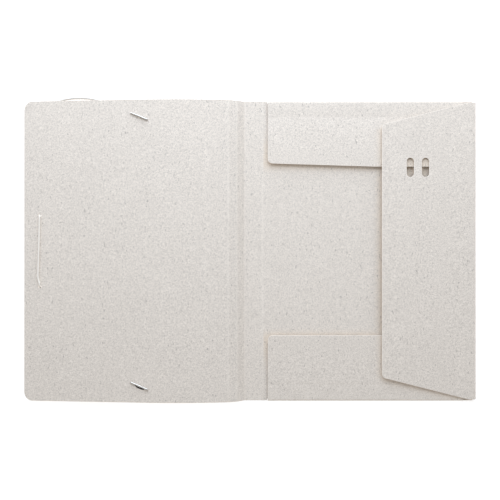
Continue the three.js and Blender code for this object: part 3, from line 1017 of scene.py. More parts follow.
def add_strip(name, origin, angle, width, body):
    """A flat strip between two creases."""
    board = bpy.context.scene.folder_board
    step = board.mesh_step
    near = -CREASE_SETBACK
    far = CREASE_SETBACK - width
    outline = [(far, -HALF_HEIGHT), (near, -HALF_HEIGHT), (near, HALF_HEIGHT), (far, HALF_HEIGHT)]
    lines = spread(-HALF_HEIGHT, HALF_HEIGHT, step)
    plan = plan_mesh(outline, [], spread(far, near, step), lines, board.rim, [(0, far), (0, near)])
    add_panel(name, plan, standing(origin, angle), body)


# Creases: how far one reaches over its panels, stands proud of them and sinks between them
CREASE_LAP = 0.2 * MM
CREASE_PROUD = 0.012 * MM
CREASE_GROOVE = 0.07 * MM
CREASE_RIDGE = 0.02 * MM
CREASE_EDGE = 0.04 * MM
CREASE_STEPS = 6


def add_crease(name, origin, right_angle, left_angle, right_body, left_body):
    """The pressed line between two panels: a shallow groove that bends with them."""
    reach = CREASE_SETBACK + CREASE_LAP
    right = standing(origin, right_angle, CREASE_PROUD)
    left = standing(origin, left_angle, CREASE_PROUD)

    def place(x, y, height):
        depth = CREASE_GROOVE if height > -SHEET / 2 else CREASE_RIDGE
        sunk = height - press(depth, 2 * CREASE_SETBACK, x)
        share = smooth((CREASE_SETBACK - x) / (2 * CREASE_SETBACK))
        return right(x, y, sunk).lerp(left(x, y, sunk), share)

    outline = [(-reach, -HALF_HEIGHT), (reach, -HALF_HEIGHT), (reach, HALF_HEIGHT), (-reach, HALF_HEIGHT)]
    across = [CREASE_SETBACK * i / CREASE_STEPS for i in range(-CREASE_STEPS, CREASE_STEPS + 1)]
    step = 2 * bpy.context.scene.folder_board.mesh_step
    plan = plan_mesh(outline, [], across, spread(-HALF_HEIGHT, HALF_HEIGHT, step), 0)
    piece = sheet_piece(name, plan, place, SHEET, CREASE_EDGE, "pressed_board")
    along = Vector((CREASE_SETBACK, 0, 0))
    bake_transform(piece, right_body, left_body, start=origin + along, end=origin - along)
    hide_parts(name)


# Rolled folds

ROLL_BOTTOM = -math.pi / 2
ROLL_STEPS = 10

# Which way the bend of a half roll passes from the cover to the flap: outward, and up
PULL_OUT = 0.4335
PULL_UP = 0.0665


def add_roll(name, axis_point, out, tilt, low, high, flap_body):
    """A rolled fold in two halves, each bending between the back cover and its flap.

    out is the direction in which the roll bulges, and low and high are its ends along the fold.
    """
    radius = axis_point.z
    fold_line = Vector((abs(out.y), abs(out.x), 0))
    foot = axis_point - fold_line * axis_point.dot(fold_line)
    divisions = spread(low, high, 2 * bpy.context.scene.folder_board.mesh_step)
    for half, start, end in (("lower", ROLL_BOTTOM, 0.0), ("upper", 0.0, math.pi / 2 - tilt)):
        lower = half == "lower"
        near = start * radius - (ROOT_SETBACK if lower else 0)
        far = end * radius + (0 if lower else ROOT_SETBACK)

        def place(x, y, height, start=start, end=end):
            angle = min(end, max(start, x / radius))
            beyond = x - angle * radius
            reach = radius + height
            flat = out * (reach * math.cos(angle) - beyond * math.sin(angle))
            rise = UP * (reach * math.sin(angle) + beyond * math.cos(angle))
            return foot + fold_line * y + flat + rise

        outline = [(near, low), (far, low), (far, high), (near, high)]
        turns = [(start + (end - start) * i / ROLL_STEPS) * radius for i in range(ROLL_STEPS + 1)]
        plan = plan_mesh(outline, [], turns, divisions, 0)
        piece = sheet_piece(f"{name}_{half}", plan, place, SHEET, CREASE_EDGE, "pressed_board")
        pull = out * (PULL_OUT if lower else -PULL_OUT) + UP * PULL_UP
        span = pull * (radius / pull.length_squared)
        first = axis_point - span * (PULL_UP if lower else 1 - PULL_UP)
        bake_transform(piece, "back_cover", flap_body, start=first, end=first + span)
        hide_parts(name)


# Panels

# Gap between the end of a rolled fold and the notch that it lies in
NOTCH_GAP = 0.5 * MM

# Spacing of the lines that bend the bow
BOW_STEP = 2.5 * MM


def back_cover():
    """The flat panel that lies on the table, notched for the rolled folds of the end flaps."""
    board = bpy.context.scene.folder_board
    step = board.mesh_step
    left = CREASE_SETBACK
    right = SIDE_AXIS.x - ROOT_SETBACK - SPINE_CREASE.x
    notch_end = TOP_AXIS.y - ROOT_SETBACK
    notch_left = FLAP_LEFT - NOTCH_GAP - SPINE_CREASE.x
    notch_right = FLAP_RIGHT + NOTCH_GAP - SPINE_CREASE.x
    upper = [
        (right, HALF_HEIGHT), (notch_right, HALF_HEIGHT), (notch_right, notch_end),
        (notch_left, notch_end), (notch_left, HALF_HEIGHT), (left, HALF_HEIGHT),
    ]
    outline = [(x, -y) for x, y in reversed(upper)] + upper
    lines_x = spread(left, right, step)
    lines_y = spread(-HALF_HEIGHT, HALF_HEIGHT, step)
    creased = [(0, left), (0, right), (1, notch_end), (1, -notch_end)]
    plan = plan_mesh(outline, [], lines_x, lines_y, board.rim, creased)
    add_panel("back_cover", plan, standing(SPINE_CREASE, 0.0), "back_cover", "back_board")


def cover_place():
    """Lays the front cover out from its crease: a bow and then a straight slope to the free edge."""
    board = bpy.context.scene.folder_board
    radius = board.crown_radius
    turn = board.cover_start - board.cover_end
    lay = standing(CROWN_CREASE, board.cover_start)

    def place(x, y, height):
        angle = min(turn, -x / radius)
        beyond = -x - angle * radius
        across = -(radius + height) * math.sin(angle) - beyond * math.cos(angle)
        rise = (radius + height) * math.cos(angle) - radius - beyond * math.sin(angle)
        return lay(across, y, rise)

    return place


def cover_spots():
    """Where the flattened front cover ends, and where its holes lie, as (x, y, diameter)."""
    board = bpy.context.scene.folder_board
    closure = bpy.context.scene.folder_closure
    far = -board.crown_radius * (board.cover_start - board.cover_end) - board.cover_straight
    spots = []
    for side in (1, -1):
        spots.append((far + closure.side_inset, side * closure.side_offset, closure.side_hole))
        margin = HALF_HEIGHT - closure.barb_margin
        spots.append((far + closure.barb_inset, side * margin, closure.barb_hole))
    return far, spots


def front_cover():
    """The panel at the left, bowed beside its crease, with four holes for the elastic."""
    board = bpy.context.scene.folder_board
    far, spots = cover_spots()
    near = -CREASE_SETBACK
    outline = rounded([
        (far, -HALF_HEIGHT, board.cover_corner), (near, -HALF_HEIGHT, 0),
        (near, HALF_HEIGHT, 0), (far, HALF_HEIGHT, board.cover_corner),
    ])
    holes = [circle(x, y, diameter / 2) for x, y, diameter in spots]
    bow = -board.crown_radius * (board.cover_start - board.cover_end)
    lines_x = spread(bow, near, BOW_STEP) + [bow] + spread(far, bow, board.mesh_step)
    lines_y = spread(-HALF_HEIGHT, HALF_HEIGHT, board.mesh_step)
    plan = plan_mesh(outline, holes, lines_x, lines_y, board.rim, [(0, near)])
    add_panel("front_cover", plan, cover_place(), "front_cover", "cover_board")


def end_flap(name, side, left_depth):
    """The top flap with side 1, the bottom flap with side -1."""
    flaps = bpy.context.scene.folder_flaps
    board = bpy.context.scene.folder_board
    step = board.mesh_step
    corners = [
        (FLAP_LEFT, ROOT_SETBACK, 0), (FLAP_LEFT, left_depth, flaps.corner),
        (FLAP_LEFT + flaps.shoulder, flaps.end_depth, 0),
        (FLAP_RIGHT - flaps.taper, flaps.end_depth, flaps.corner), (FLAP_RIGHT, ROOT_SETBACK, 0),
    ]
    outline = rounded([(x, -side * depth, radius) for x, depth, radius in corners])
    score = -side * flaps.end_score
    lines_y = spread(-side * ROOT_SETBACK, -side * flaps.end_depth, step) + beside(score, flaps.score_width)
    lines_x = spread(FLAP_LEFT, FLAP_RIGHT, step)
    plan = plan_mesh(outline, [], lines_x, lines_y, board.rim, [(1, -side * ROOT_SETBACK)])
    axis = TOP_AXIS if side == 1 else BOTTOM_AXIS
    tilt = -side * flaps.end_tilt

    def place(x, y, height):
        up = axis.z + height - press(flaps.score_depth, flaps.score_width, y - score)
        return Vector((
            x,
            axis.y + y * math.cos(tilt) - up * math.sin(tilt),
            axis.z + y * math.sin(tilt) + up * math.cos(tilt),
        ))

    add_panel(name, plan, place, name, "end_flap_board")


def side_flap():
    """The flap at the right, with slanted ends and two slots."""
    flaps = bpy.context.scene.folder_flaps
    board = bpy.context.scene.folder_board
    step = board.mesh_step
    tip_half = SIDE_ROOT_HALF - flaps.side_taper
    depth = flaps.side_depth
    outline = rounded([
        (-ROOT_SETBACK, -SIDE_ROOT_HALF, 0), (-ROOT_SETBACK, SIDE_ROOT_HALF, 0),
        (-flaps.side_shoulder, SIDE_ROOT_HALF, 0), (-depth, tip_half, flaps.corner),
        (-depth, -tip_half, flaps.corner), (-flaps.side_shoulder, -SIDE_ROOT_HALF, 0),
    ])
    slots = [
        pill(flaps.slot_inset - depth + i * flaps.slot_pitch, tip_half - flaps.slot_drop,
             flaps.slot_width, flaps.slot_length)
        for i in range(2)
    ]
    score = -flaps.side_score
    lines_x = spread(-depth, -ROOT_SETBACK, step) + beside(score, flaps.score_width)
    lines_y = spread(-SIDE_ROOT_HALF, SIDE_ROOT_HALF, step)
    plan = plan_mesh(outline, slots, lines_x, lines_y, board.rim, [(0, -ROOT_SETBACK)])
    lay = standing(SIDE_AXIS, flaps.side_tilt, SIDE_AXIS.z)

    def place(x, y, height):
        return lay(x, y, height - press(flaps.score_depth, flaps.score_width, x - score))

    add_panel("side_flap", plan, place, "side_flap", "side_flap_board")


# Elastic

# Places along the cord, in millimetres: (across, up) from the middle between the side holes for the
# inner run, and (across, onward) from its side hole for each loop
INNER_WAY = [(-0.4, 20), (-0.9, 0), (-1.5, -20), (-1.6, -28)]
UPPER_WAY = [
    (0.1, 13.4), (0.6, 32.4), (0.4, 57.4), (0.2, 80.4), (1.5, 98), (6.8, 111.2), (17.8, 119.4),
    (31.3, 122.7), (41.8, 123.2), (51.8, 122.6), (63.3, 120.3), (74.3, 116.2), (85.3, 111.4),
]
LOWER_WAY = [
    (0.1, 13.4), (0.6, 32.4), (0.6, 55.4), (1.6, 77.4), (6, 95.4), (16, 107.4),
    (30.8, 113.4), (47.8, 115), (64.8, 113.4), (80.8, 110.2),
]

# Which way each loop heads as it comes to its barb, from the X direction
UPPER_APPROACH = math.radians(-23)
LOWER_APPROACH = math.radians(-18)

# Tail past a side hole, the last stretch before a barb, and the cord's gap over the table
UNDER_TAIL = 6 * MM
APPROACH_REACH = 12 * MM
TABLE_GAP = 0.2 * MM

# Points in each half of a side hole's S, and in the bend up into a barb
BEND_STEPS = 3
STEM_STEPS = 4

# Spacing of the points on a cord's middle line and of the braid's rings, and the sides of a ring
PATH_STEP = 0.5 * MM
BRAID_STEP = 0.3 * MM
BRAID_SIDES = 24


class Route:
    """Heights and places where the elastic runs."""

    def __init__(self):
        board = bpy.context.scene.folder_board
        closure = bpy.context.scene.folder_closure
        _, spots = cover_spots()
        lay = cover_place()
        side_hole = lay(spots[0][0], 0, 0)
        barb_hole = lay(spots[1][0], 0, 0)
        radius = closure.diameter / 2
        self.closure = closure
        self.slope = board.cover_end
        self.side_x = side_hole.x
        self.barb_x = barb_hole.x
        self.barb_y = spots[1][1]
        self.barb_top = barb_hole.z
        self.run = side_hole.z + closure.touch_gap + radius
        self.under = side_hole.z - SHEET - closure.touch_gap - radius
        self.table = radius + TABLE_GAP
        self.stem_end = barb_hole.z - closure.stem_drop - closure.touch_gap

    def through_hole(self, side):
        """Points of an S through a side hole, heading towards side, from the inner face to the outer."""
        bend = self.closure.bend
        offset = self.closure.side_offset
        middle = (self.run + self.under) / 2
        half = (self.run - self.under) / 2
        turn = math.acos(1 - half / bend)
        reach = bend * math.sin(turn)
        angles = [turn * i / BEND_STEPS for i in range(BEND_STEPS + 1)]
        steps = [(bend * math.sin(angle), bend * (1 - math.cos(angle))) for angle in angles]
        plan = [(offset - reach + out, middle + half - drop) for out, drop in steps]
        plan += [(offset + reach - out, middle - half + drop) for out, drop in reversed(steps[:-1])]
        return [Vector((self.side_x, side * y, z)) for y, z in plan]

    def before_stem(self, side, approach, reach, height):
        """The point at that reach from a barb's stem, on the side that the cord comes from."""
        x = self.barb_x - reach * math.cos(approach)
        y = self.barb_y - reach * math.sin(approach)
        return Vector((x, side * y, height))

    def up_to_stem(self, side, approach):
        """Points of the quarter bend up into a barb's stem."""
        bend = self.closure.bend
        top = self.stem_end - self.closure.diameter
        points = []
        for i in range(STEM_STEPS, -1, -1):
            angle = math.pi * i / (2 * STEM_STEPS)
            away = bend * (1 - math.cos(angle))
            points.append(self.before_stem(side, approach, away, top - bend * math.sin(angle)))
        return points + [self.before_stem(side, approach, 0, self.stem_end)]

    def inner_run(self):
        """The run on the inner face, with its tails through both side holes."""
        tail = self.closure.side_offset + UNDER_TAIL - 2 * self.closure.touch_gap
        first = Vector((self.side_x, tail, self.under))
        last = Vector((self.side_x, -tail, self.under))
        between = [Vector((self.side_x + x * MM, y * MM, self.run)) for x, y in INNER_WAY]
        return [first, *reversed(self.through_hole(1)), *between, *self.through_hole(-1), last]

    def loop(self, side, way, approach):
        """A loop under the cover, from its side hole over the table and up to its barb."""
        offset = self.closure.side_offset
        plan = [(self.side_x + x * MM, side * (offset + y * MM)) for x, y in way]
        first = Vector((self.side_x, side * (offset + UNDER_TAIL), self.under))
        second = Vector((*plan[0], (self.under + self.table) / 2))
        rest = [Vector((*place, self.table)) for place in plan[1:]]
        rise = self.before_stem(side, approach, APPROACH_REACH, self.table + self.closure.touch_gap)
        return [first, second, *rest, rise, *self.up_to_stem(side, approach)]


def smooth_path(points, step):
    """Points about a step apart on the centripetal curve through the given ones."""
    ends = [points[0] * 2 - points[1], *points, points[-1] * 2 - points[-2]]
    path = [points[0]]
    for before, start, end, after in zip(ends, ends[1:], ends[2:], ends[3:]):
        pairs = ((before, start), (start, end), (end, after))
        lag, span, lead = [math.sqrt((q - p).length / MM) for p, q in pairs]
        leave = (start - before) / lag - (end - before) / (lag + span) + (end - start) / span
        arrive = (end - start) / span - (after - start) / (span + lead) + (after - end) / lead
        leave = leave * span
        arrive = arrive * span
        count = max(2, math.ceil((end - start).length / step))
        for i in range(1, count + 1):
            t = i / count
            curve = start * (2 * t**3 - 3 * t**2 + 1) + end * (3 * t**2 - 2 * t**3)
            path.append(curve + leave * (t**3 - 2 * t**2 + t) + arrive * (t**3 - t**2))
    return path


def new_tree(name, inputs):
    """A geometry tree with named inputs, given as (name, socket type, default)."""
    tree = bpy.data.node_groups.new(name, "GeometryNodeTree")
    tree.interface.new_socket("Geometry", in_out="INPUT", socket_type="NodeSocketGeometry")
    for label, kind, default in inputs:
        socket = tree.interface.new_socket(label, in_out="INPUT", socket_type=kind)
        if default is not None:
            socket.default_value = default
    tree.interface.new_socket("Geometry", in_out="OUTPUT", socket_type="NodeSocketGeometry")
    entry = tree.nodes.new("NodeGroupInput")
    leave = tree.nodes.new("NodeGroupOutput")
    return tree, entry, leave


def tree_node(tree, kind, settings=None, sockets=None):
    """Adds a node, with its settings first and then the values or links of its sockets."""
    made = tree.nodes.new(kind)
    for name, value in (settings or {}).items():
        setattr(made, name, value)
    for name, value in (sockets or {}).items():
        socket = made.inputs[name]
        if isinstance(value, bpy.types.NodeSocket):
            tree.links.new(value, socket)
        else:
            socket.default_value = value
    return made


def tree_math(tree, operation, first, second=0.0):
    """A sum or other working on one or two values of a tree."""
    made = tree_node(tree, "ShaderNodeMath", {"operation": operation}, {0: first, 1: second})
    return made.outputs[0]


def braid_tree(closure):
    """Sweeps a round section along a curve and raises two crossing families of strands on it."""
    found = bpy.data.node_groups.get("braided_cord")
    if found:
        return found
    tree, entry, leave = new_tree("braided_cord", [
        ("Radius", "NodeSocketFloat", closure.diameter / 2),
        ("Depth", "NodeSocketFloat", closure.braid_depth), ("Lay", "NodeSocketFloat", closure.braid_lay),
        ("Strands", "NodeSocketInt", closure.strands), ("Step", "NodeSocketFloat", BRAID_STEP),
        ("Sides", "NodeSocketInt", BRAID_SIDES), ("Material", "NodeSocketMaterial", None),
    ])
    given = entry.outputs
    even = tree_node(
        tree, "GeometryNodeResampleCurve", {"mode": "LENGTH"},
        {"Curve": given["Geometry"], "Length": given["Step"]},
    )
    along = tree_node(tree, "GeometryNodeSplineParameter")
    keep_along = tree_node(tree, "GeometryNodeCaptureAttribute", {"domain": "POINT"})
    keep_along.capture_items.new("FLOAT", "along")
    tree.links.new(even.outputs["Curve"], keep_along.inputs["Geometry"])
    tree.links.new(along.outputs["Length"], keep_along.inputs["along"])
    core = tree_math(tree, "SUBTRACT", given["Radius"], given["Depth"])
    ring = tree_node(
        tree, "GeometryNodeCurvePrimitiveCircle", {"mode": "RADIUS"},
        {"Resolution": given["Sides"], "Radius": core},
    )
    around = tree_node(tree, "GeometryNodeSplineParameter")
    keep_around = tree_node(tree, "GeometryNodeCaptureAttribute", {"domain": "POINT"})
    keep_around.capture_items.new("FLOAT", "around")
    tree.links.new(ring.outputs["Curve"], keep_around.inputs["Geometry"])
    tree.links.new(around.outputs["Factor"], keep_around.inputs["around"])
    tube = tree_node(
        tree, "GeometryNodeCurveToMesh", None,
        {"Curve": keep_along.outputs["Geometry"], "Profile Curve": keep_around.outputs["Geometry"],
         "Fill Caps": True},
    )
    turns = tree_math(tree, "DIVIDE", keep_along.outputs["along"], given["Lay"])
    rounds = tree_math(tree, "MULTIPLY", keep_around.outputs["around"], given["Strands"])
    ways = []
    for operation in ("ADD", "SUBTRACT"):
        phase = tree_math(tree, "MULTIPLY", tree_math(tree, operation, turns, rounds), 2 * math.pi)
        ways.append(tree_math(tree, "COSINE", phase))
    braid = tree_math(tree, "MAXIMUM", ways[0], ways[1])
    named = tree_node(
        tree, "GeometryNodeStoreNamedAttribute", {"data_type": "FLOAT", "domain": "POINT"},
        {"Geometry": tube.outputs["Mesh"], "Name": "braid", "Value": braid},
    )
    normal = tree_node(tree, "GeometryNodeInputNormal")
    height = tree_math(tree, "MULTIPLY", braid, given["Depth"])
    shift = tree_node(
        tree, "ShaderNodeVectorMath", {"operation": "SCALE"},
        {0: normal.outputs["Normal"], "Scale": height},
    )
    raised = tree_node(
        tree, "GeometryNodeSetPosition", None,
        {"Geometry": named.outputs["Geometry"], "Offset": shift.outputs["Vector"]},
    )
    real = tree_node(tree, "GeometryNodeRealizeInstances", None, {"Geometry": raised.outputs["Geometry"]})
    dressed = tree_node(
        tree, "GeometryNodeSetMaterial", None,
        {"Geometry": real.outputs["Geometry"], "Material": given["Material"]},
    )
    tree.links.new(dressed.outputs["Geometry"], leave.inputs["Geometry"])
    return tree


def settle(source, tree, values):
    """Runs a geometry tree on an object and returns the result as a plain mesh object in its place."""
    modifier = source.modifiers.new("nodes", "NODES")
    modifier.node_group = tree
    for item in tree.interface.items_tree:
        if item.in_out == "INPUT" and item.name in values:
            modifier[item.identifier] = values[item.name]
    bpy.context.view_layer.update()
    graph = bpy.context.evaluated_depsgraph_get()
    mesh = bpy.data.meshes.new_from_object(source.evaluated_get(graph))
    mesh.name = source.name
    name = source.name
    source.modifiers.remove(modifier)
    bpy.data.objects.remove(source)
    piece = bpy.data.objects.new(name, mesh)
    bpy.context.scene.collection.objects.link(piece)
    return piece


def line_object(name, path):
    """A curve object of one open line through points."""
    curve = bpy.data.curves.new(name, "CURVE")
    curve.dimensions = "3D"
    spline = curve.splines.new("POLY")
    spline.points.add(len(path) - 1)
    for point, place in zip(spline.points, path):
        point.co = (*place, 1)
    line = bpy.data.objects.new(name, curve)
    bpy.context.scene.collection.objects.link(line)
    return line


def add_cord(name, points):
    """One stretch of the braided elastic, along the smooth path through its points."""
    closure = bpy.context.scene.folder_closure
    path = smooth_path(points, PATH_STEP)
    piece = settle(line_object(name, path), braid_tree(closure), {
        "Radius": closure.diameter / 2, "Depth": closure.braid_depth, "Lay": closure.braid_lay,
        "Strands": closure.strands, "Material": material("braided_elastic"),
    })
    piece.data.shade_smooth()
    length = sum((b - a).length for a, b in zip(path, path[1:]))
    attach(piece, "front_cover")
    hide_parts(name)
    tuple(path[0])


# Barbs

# Sides of the turned bodies, and the steps of their domes, lips and waists
BARB_SIDES = 32
DOME_STEPS = 6
LIP_STEPS = 4
WAIST_STEPS = 8

# Rolled lip and pinched waist of a crimped sleeve, and the stem's width as a share of the sleeve's
SLEEVE_LIP = 0.35 * MM
SLEEVE_WAIST = 0.14 * MM
STEM_SHARE = 0.98


def lathe(profile, sides):
    """Points and faces of a body turned about X.

    Its profile is a list of (along, radius), which starts and ends on X.
    """
    inner = profile[1:-1]
    points = [Vector((profile[0][0], 0, 0)), Vector((profile[-1][0], 0, 0))]
    for along, radius in inner:
        for i in range(sides):
            turn = 2 * math.pi * i / sides
            points.append(Vector((along, radius * math.cos(turn), radius * math.sin(turn))))
    faces = []
    for i in range(sides):
        j = (i + 1) % sides
        faces.append([0, 2 + j, 2 + i])
        last = 2 + (len(inner) - 1) * sides
        faces.append([1, last + i, last + j])
        for ring in range(len(inner) - 1):
            near = 2 + ring * sides
            far = near + sides
            faces.append([near + i, near + j, far + j, far + i])
    return points, faces


def bar_profile(length, radius):
    """A drawn rod with domed ends."""
    half = length / 2
    profile = [(-half, 0.0)]
    for step in range(1, DOME_STEPS + 1):
        turn = math.pi / 2 * step / DOME_STEPS
        profile.append((-half + radius * (1 - math.cos(turn)), radius * math.sin(turn)))
    mirrored = [(-along, width) for along, width in reversed(profile)]
    return profile + mirrored


def sleeve_profile(length, radius):
    """A crimped sleeve: softly rolled lips and a pinched waist."""
    half = length / 2
    lip = [(-half, 0.0)]
    for step in range(LIP_STEPS + 1):
        turn = math.pi / 2 * step / LIP_STEPS
        inward = SLEEVE_LIP * (1 - math.cos(turn))
        lip.append((-half + inward, radius - SLEEVE_LIP * (1 - math.sin(turn))))
    waist = []
    for step in range(1, WAIST_STEPS):
        share = step / WAIST_STEPS
        along = -half + SLEEVE_LIP + (length - 2 * SLEEVE_LIP) * share
        waist.append((along, radius - SLEEVE_WAIST * math.sin(math.pi * share) ** 2))
    return lip + waist + [(-along, width) for along, width in reversed(lip)]


def add_barb(name, side, route):
    """A plated barb lying over its hole: a rod, a crimped sleeve and a stem that holds the elastic."""
    closure = route.closure
    radius = closure.barb_diameter / 2
    seat = closure.touch_gap + radius
    slope = Matrix.Rotation(route.slope, 4, "Y")
    turn = Matrix.Rotation(closure.barb_turn, 4, "Z")
    hole = Matrix.Translation((route.barb_x, side * route.barb_y, route.barb_top))
    lying = hole @ slope @ turn @ Matrix.Translation((0, 0, seat))
    wide = closure.crimp_diameter / 2
    stem_length = seat + closure.stem_drop
    upright = lying @ Matrix.Translation((0, 0, -stem_length / 2)) @ Matrix.Rotation(math.pi / 2, 4, "Y")
    parts = [
        (bar_profile(closure.barb_length, radius), lying),
        (sleeve_profile(closure.crimp_length, wide), lying),
        (sleeve_profile(stem_length, wide * STEM_SHARE), upright),
    ]
    points = []
    faces = []
    for profile, matrix in parts:
        part_points, part_faces = lathe(profile, BARB_SIDES)
        faces += [[len(points) + i for i in face] for face in part_faces]
        points += [matrix @ p for p in part_points]
    piece = mesh_piece(name, points, faces, "plated_metal")
    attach(piece, "front_cover")
    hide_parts(name)


# Camera and lights

# The camera's sensor in millimetres, and how far it sees in metres
SENSOR_WIDTH = 36
FAR_SIGHT = 100


def add_light(name, place, size, power, colour):
    """A square light that faces the middle of the folder."""
    data = bpy.data.lights.new(name, "AREA")
    data.color = colour
    data.size = size
    data.energy = power
    light = bpy.data.objects.new(name, data)
    light.location = place
    light.rotation_euler = (-Vector(place)).to_track_quat("-Z", "Y").to_euler()
    bpy.context.scene.collection.objects.link(light)


def add_side_light(name, side, stage):
    """A broad far light from the right with side 1, from the left with side -1."""
    data = bpy.data.lights.new(name, "SUN")
    data.color = stage.fill_colour
    data.energy = stage.side_power
    data.angle = stage.side_spread
    light = bpy.data.objects.new(name, data)
    light.rotation_euler = (0, side * (math.pi / 2 - stage.side_height), 0)
    bpy.context.scene.collection.objects.link(light)


# Operators


class FOLDER_OT_camera(bpy.types.Operator):
    """Adds the camera that looks straight down on the open folder"""

    bl_idname = "folder.camera"
    bl_label = "Camera"

    def execute(self, context):
        stage = context.scene.folder_stage
        data = bpy.data.cameras.new("camera")
        data.sensor_width = SENSOR_WIDTH
        data.lens = data.sensor_width * stage.camera_height / stage.view_width
        data.clip_end = FAR_SIGHT
        camera = bpy.data.objects.new("camera", data)
        camera.location = (stage.view_x, stage.view_y, stage.camera_height)
        context.scene.collection.objects.link(camera)
        context.scene.camera = camera
        return {"FINISHED"}


class FOLDER_OT_elastic(bpy.types.Operator):
    """Adds the elastic cord: its run on the inner face and the two loops that reach its barbs"""

    bl_idname = "folder.elastic"
    bl_label = "Elastic cord"

    def execute(self, context):
        route = Route()
        add_cord("elastic_inner_run", route.inner_run())
        add_cord("elastic_upper_loop", route.loop(1, UPPER_WAY, UPPER_APPROACH))
        add_cord("elastic_lower_loop", route.loop(-1, LOWER_WAY, LOWER_APPROACH))
        return {"FINISHED"}


class FOLDER_OT_covers(bpy.types.Operator):
    """Adds the back cover, the spine, the two relief strips and the front cover"""

    bl_idname = "folder.covers"
    bl_label = "Covers and spine"

    def execute(self, context):
        back_cover()
        add_strip("spine", SPINE_CREASE, 0.0, SPINE_CREASE.x - COVER_CREASE.x, "spine")
        inner_width = (MIDDLE_CREASE - COVER_CREASE).length
        outer_width = (CROWN_CREASE - MIDDLE_CREASE).length
        inner = slope_between(COVER_CREASE, MIDDLE_CREASE)
        outer = slope_between(MIDDLE_CREASE, CROWN_CREASE)
        add_strip("relief_strip_inner", COVER_CREASE, inner, inner_width, "relief_inner")
        add_strip("relief_strip_outer", MIDDLE_CREASE, outer, outer_width, "relief_outer")
        front_cover()
        return {"FINISHED"}


class FOLDER_OT_creases(bpy.types.Operator):
    """Adds the four pressed creases between the flat panels"""

    bl_idname = "folder.creases"
    bl_label = "Creases"

    def execute(self, context):
        inner = slope_between(COVER_CREASE, MIDDLE_CREASE)
        outer = slope_between(MIDDLE_CREASE, CROWN_CREASE)
        cover = context.scene.folder_board.cover_start
        add_crease("spine_back_crease", SPINE_CREASE, 0.0, 0.0, "back_cover", "spine")
        add_crease("spine_cover_crease", COVER_CREASE, 0.0, inner, "spine", "relief_inner")
        add_crease("relief_middle_crease", MIDDLE_CREASE, inner, outer, "relief_inner", "relief_outer")
        add_crease("relief_cover_crease", CROWN_CREASE, outer, cover, "relief_outer", "front_cover")
        return {"FINISHED"}


class FOLDER_OT_flaps(bpy.types.Operator):
    """Adds the top, bottom and side flaps"""

    bl_idname = "folder.flaps"
    bl_label = "Flaps"

    def execute(self, context):
        flaps = context.scene.folder_flaps
        end_flap("top_flap", 1, flaps.top_left_depth)
        end_flap("bottom_flap", -1, flaps.end_depth)
        side_flap()
        return {"FINISHED"}


class FOLDER_OT_rolls(bpy.types.Operator):
    """Adds the rolled folds that join the flaps to the back cover"""

    bl_idname = "folder.rolls"
    bl_label = "Rolled folds"

    def execute(self, context):
        flaps = context.scene.folder_flaps
        out = Vector((0, 1, 0))
        add_roll("top_fold", TOP_AXIS, out, flaps.end_tilt, FLAP_LEFT, FLAP_RIGHT, "top_flap")
        add_roll("bottom_fold", BOTTOM_AXIS, -out, flaps.end_tilt, FLAP_LEFT, FLAP_RIGHT, "bottom_flap")
        right = Vector((1, 0, 0))
        half = SIDE_ROOT_HALF
        add_roll("side_fold", SIDE_AXIS, right, flaps.side_tilt, -half, half, "side_flap")
        return {"FINISHED"}


class FOLDER_OT_barbs(bpy.types.Operator):
    """Adds the two metal barbs that hold the elastic's ends"""

    bl_idname = "folder.barbs"
    bl_label = "Barbs"

    def execute(self, context):
        route = Route()
        add_barb("upper_barb", 1, route)
        add_barb("lower_barb", -1, route)
        return {"FINISHED"}


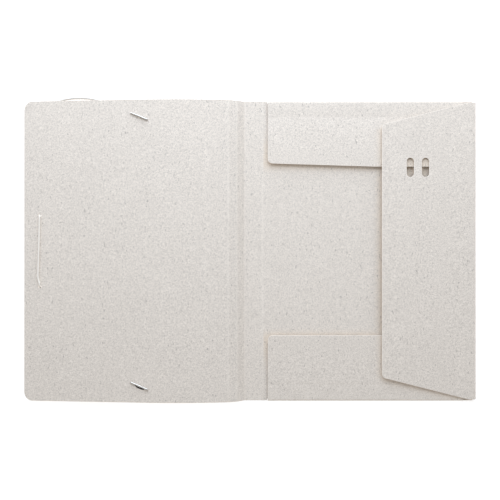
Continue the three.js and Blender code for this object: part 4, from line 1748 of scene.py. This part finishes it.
class FOLDER_OT_stage(bpy.types.Operator):
    """Adds the floor and the studio light"""

    bl_idname = "folder.stage"
    bl_label = "Stage"

    def execute(self, context):
        stage = context.scene.folder_stage
        reach = stage.floor_reach
        square = ((-reach, -reach), (reach, -reach), (reach, reach), (-reach, reach))
        corners = [(x, y, -stage.floor_drop) for x, y in square]
        mesh = bpy.data.meshes.new("floor")
        mesh.from_pydata(corners, [], [(0, 1, 2, 3)])
        mesh.materials.append(material("pale_floor"))
        floor = bpy.data.objects.new("floor", mesh)
        context.scene.collection.objects.link(floor)
        add_light("key", stage.key_place, stage.key_size, stage.key_power, stage.key_colour)
        add_side_light("left", -1, stage)
        add_side_light("right", 1, stage)
        world = bpy.data.worlds.new("studio")
        world.use_nodes = True
        background = world.node_tree.nodes["Background"]
        background.inputs["Color"].default_value = rgba(stage.fill_colour)
        background.inputs["Strength"].default_value = stage.fill
        context.scene.world = world
        context.scene.view_settings.view_transform = "Standard"
        return {"FINISHED"}


class FOLDER_PT_sidebar(bpy.types.Panel):
    """Lists the steps that build the folder"""

    bl_label = "Document folder"
    bl_idname = "FOLDER_PT_sidebar"
    bl_space_type = "VIEW_3D"
    bl_region_type = "UI"
    bl_category = "Folder"

    def draw(self, context):
        for step in STEPS:
            self.layout.operator(step.bl_idname)


STEPS = (
    FOLDER_OT_camera,
    FOLDER_OT_elastic,
    FOLDER_OT_covers,
    FOLDER_OT_creases,
    FOLDER_OT_flaps,
    FOLDER_OT_rolls,
    FOLDER_OT_barbs,
    FOLDER_OT_stage,
)
GROUPS = {
    "folder_board": FolderBoard,
    "folder_flaps": FolderFlaps,
    "folder_closure": FolderClosure,
    "folder_stage": FolderStage,
}
CLASSES = (*GROUPS.values(), *STEPS, FOLDER_PT_sidebar)


def register():
    """Makes the settings, operators and panel known."""
    for cls in CLASSES:
        bpy.utils.register_class(cls)
    for name, group in GROUPS.items():
        setattr(bpy.types.Scene, name, PointerProperty(type=group))


def unregister():
    """Takes them away again."""
    for name in GROUPS:
        delattr(bpy.types.Scene, name)
    for cls in reversed(CLASSES):
        bpy.utils.unregister_class(cls)


def main():
    """Builds the folder and its stage."""
    register()
    for step in STEPS:
        group, name = step.bl_idname.split(".")
        getattr(getattr(bpy.ops, group), name)()


if __name__ == "__main__":
    main()
